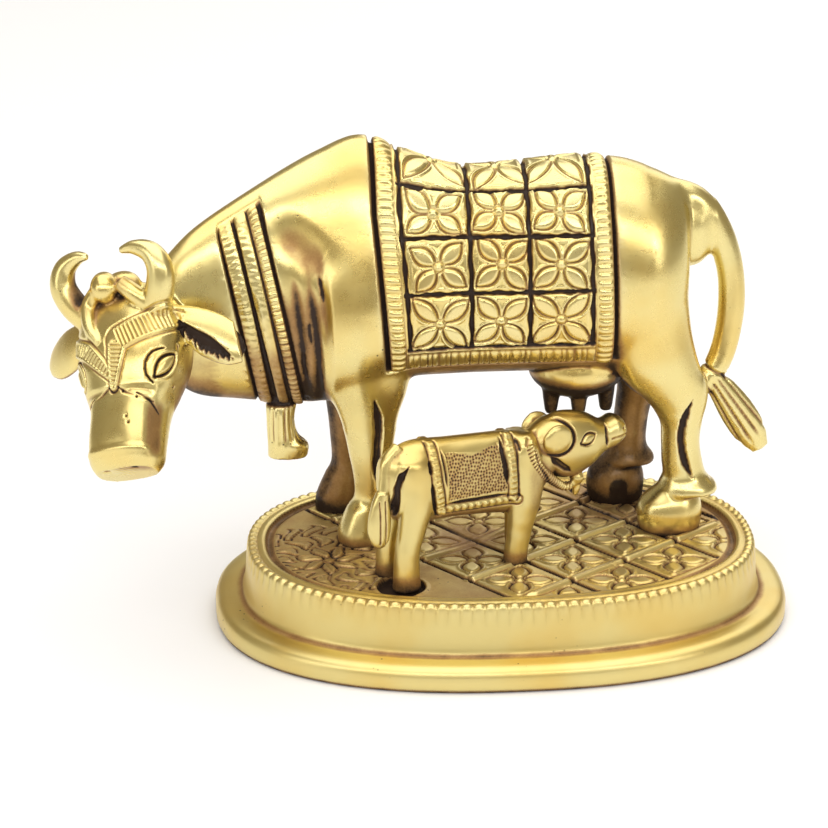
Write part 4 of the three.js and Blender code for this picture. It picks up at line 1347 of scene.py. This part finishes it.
def cow_shells():
    """The cow's skin as interpenetrating closed parts."""
    parts = [
        trunk_shell(COW_BODY),
        *(leg_shell(rows) for rows in (NEAR_FRONT_LEG, FAR_FRONT_LEG, NEAR_HIND_LEG, FAR_HIND_LEG)),
        leg_shell(NEAR_HIND_HOOF, 30),
        leg_shell(FAR_HIND_HOOF, 30),
        egg_shell(UDDER_AT, UDDER_HALF),
        egg_shell(TAIL_HEAD_AT, TAIL_HEAD_HALF),
        rod_shell(TAIL, (0, 1, 0)),
        rod_shell(TAIL_TUFT, (0, 1, 0)),
        leg_shell(PENDANT, 40),
    ]
    for x, y, length in TEATS:
        widths = (1.0, 0.8, 0.62, 0.45)
        heights = (TEAT_ROOT + 1, TEAT_ROOT - length / 2, TEAT_ROOT - length + 0.5, TEAT_ROOT - length)
        rows = [[z, x, y, TEAT_RADIUS * w, TEAT_RADIUS * w] for z, w in zip(heights, widths)]
        parts.append(leg_shell(rows, 16, 20))
    head = [trunk_shell([[x, 0, top, bottom, half, 0] for x, top, bottom, half in SKULL], power=SKULL_POWER)]
    head.append(egg_shell(TOPKNOT_CORE_AT, TOPKNOT_CORE_HALF))
    head.append(egg_shell(TOPKNOT_LOBE_AT, TOPKNOT_LOBE_HALF))
    head += [rod_shell(rows, (0, 0, 1)) for rows in (TOPKNOT_BRIDGE, TOPKNOT_STRAP)]
    for side, droop in ((1, 1.0), (-1, FAR_EAR_DROOP)):
        flip = np.array([1, side, 1, 1, 1])
        head.append(rod_shell(np.array(HORN) * flip[:4], (0, 0, 1)))
        ear = np.array(EAR) * flip
        ear[:, 0] = EAR[0][0] + (ear[:, 0] - EAR[0][0]) * droop
        head.append(rod_shell(ear, (0, 0, 1)))
    return together(parts + [turned(part, HEAD_MATRIX, HEAD_AT) for part in head])


def calf_shells():
    near = np.array([1, 1, -1, 1, 1])
    shoulder = CALF_FRONT_LEG[0][0]
    stride = CALF_STRIDE / (shoulder - HOOF_BASE)
    ahead = np.array([[z, x + stride * (shoulder - z), *rest] for z, x, *rest in CALF_FRONT_LEG])
    parts = [
        trunk_shell(CALF_BODY),
        trunk_shell(CALF_HEAD, 60, 64),
        egg_shell(CALF_CHEST_AT, CALF_CHEST_HALF),
        leg_shell(CALF_HIND_LEG),
        leg_shell(np.array(CALF_HIND_LEG) * near),
        leg_shell(ahead),
        leg_shell(np.array(CALF_FRONT_LEG) * near),
        rod_shell(CALF_TAIL, (0, 1, 0)),
        rod_shell(CALF_TUFT, (0, 1, 0)),
        rod_shell(CALF_ROPE, (0, 1, 0)),
        rod_shell(CALF_CORD_END, (0, 1, 0)),
        egg_shell(CALF_BELL_AT, (CALF_BELL_RADIUS,) * 3),
    ]
    for side in (1, -1):
        parts.append(egg_shell((CALF_EAR_AT[0], CALF_EAR_AT[1] * side, CALF_EAR_AT[2]), CALF_EAR_HALF))
    return together(parts)


# Relief of the calf's skin: its blanket, tail, neck, ear, eye and muzzle. Lines are x, z in its own axes
CALF_EYE_AT, CALF_EYE_TILT, CALF_EYE_HALF = (39.45, 36.2), math.radians(15), 0.95
CALF_STRIPS = (
    [(6.5, 41.2), (6.3, 38), (6.4, 34.4), (7.4, 28)],
    [(23.2, 39.8), (22.9, 38), (22.8, 33.5), (22.9, 28)],
)
CALF_HEM = [(7.3, 28.2), (13.8, 27.7), (20.4, 27.4), (23.6, 27.2)]
# Line, width and depth
CALF_CUTS = (
    ([(5.1, 38.6), (5.2, 35.8)], 0.9, 0.6),
    ([(5.2, 34.4), (5.5, 31), (6.2, 27.8)], 0.8, 0.6),
    ([(8.1, 39.7), (8.3, 36), (8.4, 33)], 0.6, 0.4),
    ([(21.2, 39.2), (21.1, 36.8), (21.3, 34), (21.5, 30.9)], 1.1, 0.8),
    ([(24.5, 38.8), (24.4, 36.4)], 0.6, 0.4),
    ([(8.6, 29.4), (15.2, 29.0), (21.8, 28.7)], 0.8, 0.6),
    ([(27.2, 37), (28.3, 33.3), (30.8, 29.4)], 0.8, 0.4),
    ([(31.4, 33.9), (33.6, 31.9), (36, 30.0)], 1.3, 0.5),
    ([(0.7, 38.2), (-0.6, 36.5), (-1.5, 34), (-1.6, 30), (-1.3, 27)], 1.1, 0.9),
    ([(44.5, 37.6), (44.3, 35.4), (44.6, 33.2)], 0.8, 0.45),
)
PUNCH_PITCH = 0.62


def punched(u, v, pitch, radius, seed):
    """Small round pits, one in each square of a grid and a little off its middle. Gives how deep, from 0 to 1."""
    column, row = np.floor(u / pitch), np.floor(v / pitch)
    off_u = 0.5 + 0.22 * np.sin(column * 12.9 + row * 78.2 + seed)
    off_v = 0.5 + 0.22 * np.sin(column * 39.3 + row * 11.1 + 2 * seed)
    return hump(np.hypot(u / pitch - column - off_u, v / pitch - row - off_v) * pitch, radius)


def calf_relief(places, normals):
    """The calf's chasing, drawn on both its sides. Gives the relief, and staining together with painted shade under
    the calf's body.
    """
    local, outward = (places - np.asarray(CALF_AT)) @ CALF_MATRIX, normals @ CALF_MATRIX
    x, y, z = local.T
    relief, stain_and_shade = np.zeros(len(places)), np.zeros(len(places))
    side = ease(np.abs(outward[:, 1]), 0.15, 0.4) * (np.abs(y) < 6.5)
    body = side * (x > -3) * (x < 37) * (z > 25.5)
    for line, width, depth in CALF_CUTS:
        relief += cut(line, x, z, width, depth) * np.where(x > 37, side, body)
    top = np.interp(x, [8.6, 14.9, 20.6], [39.3, 38.0, 38.9])
    low = np.interp(x, [8.6, 21.6], [29.9, 29.4])
    field = window(x, 8.9, 20.5 + 0.11 * (39 - z), 0.4) * ease(top - z, 0, 0.5) * ease(z - low, 0, 0.3) * body
    pits = punched(x, z, PUNCH_PITCH, 0.3, 3.0)
    relief -= field * (0.12 + 0.2 * pits)
    stain_and_shade += field * (0.1 + 0.35 * pits)
    for line in CALF_STRIPS:
        away, travel = from_line(line, x, z)
        bead = np.abs(np.sin(math.pi * travel / 1.15))
        relief += body * (0.36 * ease(0.95 - away, 0, 0.5) * (0.35 + 0.65 * bead) - 0.3 * hump(away - 1.1, 0.35))
    away, travel = from_line(CALF_HEM, x, z)
    relief += body * (0.4 * ease(0.8 - away, 0, 0.5) * np.abs(np.sin(math.pi * travel / 1.5)) - 0.25 * hump(away - 1.0, 0.35))
    to_eye, above = x - CALF_EYE_AT[0], z - CALF_EYE_AT[1]
    p = to_eye * math.cos(CALF_EYE_TILT) + above * math.sin(CALF_EYE_TILT)
    q = -to_eye * math.sin(CALF_EYE_TILT) + above * math.cos(CALF_EYE_TILT)
    ball = leaf(p + 1.8, q, 3.6, CALF_EYE_HALF)
    face = side * (x > 34)
    relief += face * (0.2 * ease(ball, 0, 0.6) - 0.42 * hump(ball + 0.1, 0.38))
    ear = np.hypot((x - CALF_EAR_AT[0]) / CALF_EAR_HALF[0], (z - CALF_EAR_AT[2]) / CALF_EAR_HALF[2])
    lobe = side * (x < 37) * (x > 28)
    crescent = 0.25 + 0.75 * ease((x - CALF_EAR_AT[0]) - 0.4 * (z - CALF_EAR_AT[2]), -1.5, 2.0)
    relief -= lobe * (0.6 * crescent * hump(ear - 1.14, 0.17) + 0.15 * ease(0.8 - ear, 0, 0.6))
    stain_and_shade += lobe * 0.4 * crescent * hump(ear - 1.14, 0.2)
    rope = from_line([row[::2][:2] for row in CALF_ROPE], x, z)
    relief += body * (rope[0] < 1.0) * 0.18 * np.sin((rope[1] + 0.8 * (x - z)) * TAU / 1.5)
    relief -= 0.3 * (x < -2.2) * (z < 32) * (z > 23.5) * hump(np.abs(x + 4.3) - 0.6, 0.25)
    nostril = np.hypot(x - 48.4, z - 36.2)
    relief -= 0.3 * side * hump(nostril, 0.6)
    relief -= 0.22 * hump(z - 34.6 - 0.1 * (x - 46), 0.35) * (x > 45.5)
    # Painted shade on the skin that faces down, under the calf's body, and darker towards the floor.
    stain_and_shade += 0.45 * ease(-outward[:, 2], 0.25, 0.9) * ease(z, 20, 24) + 0.5 * ease(18 - z, 0, 3.5)
    stain_and_shade += 0.16 * window(x, 26, 33, 2) * window(z, 24, 33, 3) + 0.14
    return relief + 0.04 * ripple(places, 4.0, 9), stain_and_shade


# Add-on: sizes, colours, one operator for each piece, and the panel


class StatueSizes(bpy.types.PropertyGroup):
    """Sizes that a user would change."""

    blanket_thickness: FloatProperty(
        name="Blanket", description="How far the blanket stands proud of the cow's back", default=0.2 * MM,
        unit="LENGTH",
    )
    strap_thickness: FloatProperty(
        name="Neck straps", description="How far the straps stand proud of the neck", default=0.2 * MM,
        unit="LENGTH",
    )
    cow_voxel: FloatProperty(
        name="Cow's grain", description="Size of the squares that the cow's skin is melted into", default=0.34 * MM,
        unit="LENGTH",
    )
    calf_voxel: FloatProperty(
        name="Calf's grain", description="Size of the squares that the calf's skin is melted into", default=0.2 * MM,
        unit="LENGTH",
    )


class StatueColours(bpy.types.PropertyGroup):
    """Colours of the metal and of what lies in its hollows."""

    brass: FloatVectorProperty(
        name="Brass", description="Polished metal", subtype="COLOR", size=3, default=(0.78, 0.665, 0.285), min=0, max=1
    )
    warm: FloatVectorProperty(
        name="Warm brass", description="Warmer patches of the metal", subtype="COLOR", size=3,
        default=(0.77, 0.58, 0.19), min=0, max=1,
    )
    rubbed: FloatVectorProperty(
        name="Rubbed edges", description="Metal brightened by wear", subtype="COLOR", size=3,
        default=(0.90, 0.83, 0.52), min=0, max=1,
    )
    tarnish: FloatVectorProperty(
        name="Tarnish", description="Dull metal", subtype="COLOR", size=3, default=(0.56, 0.42, 0.14), min=0, max=1
    )
    fringe: FloatVectorProperty(
        name="Red stain", description="Reddish brown round the patina", subtype="COLOR", size=3,
        default=(0.30, 0.13, 0.05), min=0, max=1,
    )
    patina: FloatVectorProperty(
        name="Patina", description="Dark brown in the hollows", subtype="COLOR", size=3,
        default=(0.030, 0.016, 0.010), min=0, max=1,
    )


class STATUE_OT_plinth(bpy.types.Operator):
    """Makes the oval plinth with its beaded rim and chased floor"""

    bl_idname = "statue.plinth"
    bl_label = "Plinth"

    def execute(self, context):
        points, faces, hollow, proud = plinth_mesh()
        piece = new_piece("plinth_chased", points, faces)
        mark(piece, hollow, proud)
        finish_piece(piece, brass("plinth brass", satin=0.12, tarnish=0.2), "plinth")
        return {"FINISHED"}


class STATUE_OT_cow(bpy.types.Operator):
    """Makes the cow: her skin melted into one casting, then chased"""

    bl_idname = "statue.cow"
    bl_label = "Cow"

    def execute(self, context):
        sizes = context.scene.statue_sizes
        piece = new_piece("cow_casting", *cow_shells())
        melt(piece, sizes.cow_voxel / MM, 5)
        x, y, z = read(piece.data).T
        thigh = (x > 17) & (x < 38.5) & (z > 38) & (z < 66) & ~((z < 46) & (x < 25) & (y > 2) & (y < 18))
        shoulder = (x > -36) & (x < -14) & (z > 37) & (z < 62)
        tail_root = (x > 28) & (x < 41.5) & (z > 62)
        soften(piece, thigh | shoulder | tail_root, 90)
        places = read(piece.data)
        local = (places - np.asarray(HEAD_AT)) @ HEAD_MATRIX
        refine(piece, (local[:, 0] > -2) & (local[:, 2] > -6) & (places[:, 0] < -57))
        places, normals = read(piece.data), read(piece.data, "normal")
        # The stains that the reliefs give come with painted shade under the head and the body.
        head, head_stain_and_shade = head_relief(places, normals)
        body, body_stain_and_shade = body_relief(places, normals)
        raise_skin(piece.data, head + body, normals)
        cut_in = np.clip(-1.1 * head - 0.1, 0, 0.6) + 0.6 * np.clip(-1.2 * body - 0.25, 0, 0.5)
        mark_casting(piece, head_stain_and_shade + body_stain_and_shade + cut_in)
        thin(piece, 196000)
        finish_piece(piece, brass("cow brass"), "cow")
        return {"FINISHED"}


class STATUE_OT_blanket(bpy.types.Operator):
    """Makes the tiled blanket over the cow's back"""

    bl_idname = "statue.blanket"
    bl_label = "Blanket"

    def execute(self, context):
        points, faces, hollow, proud = blanket_mesh()
        piece = new_piece("cow_blanket", points, faces)
        mark(piece, hollow, proud)
        thin(piece, 190000)
        finish_piece(piece, brass("blanket brass", dirt=1.2))
        return {"FINISHED"}


class STATUE_OT_straps(bpy.types.Operator):
    """Makes the straps round the cow's neck"""

    bl_idname = "statue.straps"
    bl_label = "Neck straps"

    def execute(self, context):
        points, faces, hollow, proud = straps_mesh()
        piece = new_piece("cow_neck_straps", points, faces)
        mark(piece, hollow, proud)
        thin(piece, 110000)
        finish_piece(piece, brass("strap brass", dirt=1.2))
        return {"FINISHED"}


class STATUE_OT_calf(bpy.types.Operator):
    """Makes the calf"""

    bl_idname = "statue.calf"
    bl_label = "Calf"

    def execute(self, context):
        sizes = context.scene.statue_sizes
        piece = new_piece("calf_casting", *turned(calf_shells(), CALF_MATRIX, CALF_AT))
        melt(piece, sizes.calf_voxel / MM, 5)
        x, y, z = ((read(piece.data) - np.asarray(CALF_AT)) @ CALF_MATRIX).T
        rope = from_line([row[::2][:2] for row in CALF_ROPE], x, z)[0] < 1.3
        soften(piece, (z > 26) & (z < 40) & (x > 0) & (x < 31.5) & ~rope, 60)
        places, normals = read(piece.data), read(piece.data, "normal")
        relief, stain_and_shade = calf_relief(places, normals)
        raise_skin(piece.data, relief, normals)
        mark_casting(piece, stain_and_shade + np.clip(-0.9 * relief - 0.1, 0, 0.5))
        thin(piece, 190000)
        finish_piece(piece, brass("calf brass", satin=0.05, tarnish=0.25), "calf")
        return {"FINISHED"}


# Camera, fitted to the photograph's view of the plinth
CAMERA_AT = (-65.62, -558.5, 261.1)
CAMERA_PITCH = 21.5
CAMERA_TURN = -4.998
CAMERA_LENS = 3187.78 * 36 / 828


def softbox(name, at, size, glow, toward=(-10, 0, 45), colour=(1.0, 1.0, 1.0)):
    """A flat light at a place in millimetres, turned towards a point of the statue. It looks glow times as
    bright as white paper in full light."""
    data = bpy.data.lights.new(name, "AREA")
    data.shape = "RECTANGLE"
    data.size, data.size_y = size[0] * MM, size[1] * MM
    data.energy = glow * math.pi * data.size * data.size_y
    data.color = colour
    lamp = bpy.data.objects.new(name, data)
    lamp.location = Vector(at) * MM
    lamp.rotation_mode = "QUATERNION"
    lamp.rotation_quaternion = (Vector(toward) - Vector(at)).to_track_quat("-Z", "Y")
    bpy.context.scene.collection.objects.link(lamp)
    return lamp


class STATUE_OT_stage(bpy.types.Operator):
    """Makes the pale floor, the studio light and the camera"""

    bl_idname = "statue.stage"
    bl_label = "Stage"

    def execute(self, context):
        scene = context.scene
        span, steps = 6000.0, 24
        edge = np.linspace(-span / 2, span / 2, steps)
        x, y = np.meshgrid(edge, edge, indexing="ij")
        index = np.arange(steps * steps).reshape(steps, steps)
        quads = np.stack([index[:-1, :-1], index[1:, :-1], index[1:, 1:], index[:-1, 1:]], -1).reshape(-1, 4)
        floor = new_piece("stage_floor", np.stack([x, y, 0 * x - 0.05], -1).reshape(-1, 3), [quads])
        shop = Shop("pale floor")
        shader = shop.node(
            "ShaderNodeBsdfPrincipled",
            {},
            {"Base Color": (0.93, 0.94, 0.98, 1.0), "Roughness": 0.6, "Specular IOR Level": 0.3},
            "BSDF",
        )
        shop.node("ShaderNodeOutputMaterial", {}, {"Surface": shader})
        floor.data.materials.append(shop.material)
        world = bpy.data.worlds.new("studio")
        world.use_nodes = True
        world.node_tree.nodes["Background"].inputs["Color"].default_value = (1.0, 0.86, 0.62, 1.0)
        world.node_tree.nodes["Background"].inputs["Strength"].default_value = 0.34
        scene.world = world
        softbox("top_softbox", (0, 0, 1000), (1500, 1500), 1.7)
        softbox("front_strip", (-60, -950, 640), (2400, 190), 4.4)
        softbox("left_softbox", (-760, -420, 300), (260, 420), 1.7)
        softbox("right_softbox", (560, -560, 330), (120, 420), 2.6)
        softbox("back_softbox", (300, 620, 420), (520, 420), 1.2)
        data = bpy.data.cameras.new("photo_camera")
        data.sensor_width = 36
        data.lens = CAMERA_LENS
        camera = bpy.data.objects.new("photo_camera", data)
        camera.location = Vector(CAMERA_AT) * MM
        camera.rotation_euler = (math.radians(90 - CAMERA_PITCH), 0, math.radians(CAMERA_TURN))
        scene.collection.objects.link(camera)
        scene.camera = camera
        scene.view_settings.view_transform = "Standard"
        return {"FINISHED"}


class STATUE_PT_panel(bpy.types.Panel):
    """Lists the statue's pieces, sizes and colours"""

    bl_idname = "STATUE_PT_panel"
    bl_label = "Cow and calf statue"
    bl_space_type = "VIEW_3D"
    bl_region_type = "UI"
    bl_category = "Statue"

    def draw(self, context):
        for group in (context.scene.statue_sizes, context.scene.statue_colours):
            box = self.layout.box()
            for name in group.__annotations__:
                box.prop(group, name)
        for operator in OPERATORS:
            self.layout.operator(operator.bl_idname)


OPERATORS = (
    STATUE_OT_plinth, STATUE_OT_cow, STATUE_OT_blanket, STATUE_OT_straps, STATUE_OT_calf, STATUE_OT_stage,
)
CLASSES = (StatueSizes, StatueColours, *OPERATORS, STATUE_PT_panel)


def register():
    for item in CLASSES:
        bpy.utils.register_class(item)
    bpy.types.Scene.statue_sizes = PointerProperty(type=StatueSizes)
    bpy.types.Scene.statue_colours = PointerProperty(type=StatueColours)


def unregister():
    del bpy.types.Scene.statue_colours
    del bpy.types.Scene.statue_sizes
    for item in reversed(CLASSES):
        bpy.utils.unregister_class(item)


def main():
    register()
    bpy.ops.statue.plinth()
    bpy.ops.statue.cow()
    bpy.ops.statue.blanket()
    bpy.ops.statue.straps()
    bpy.ops.statue.calf()
    bpy.ops.statue.stage()


if __name__ == "__main__":
    main()
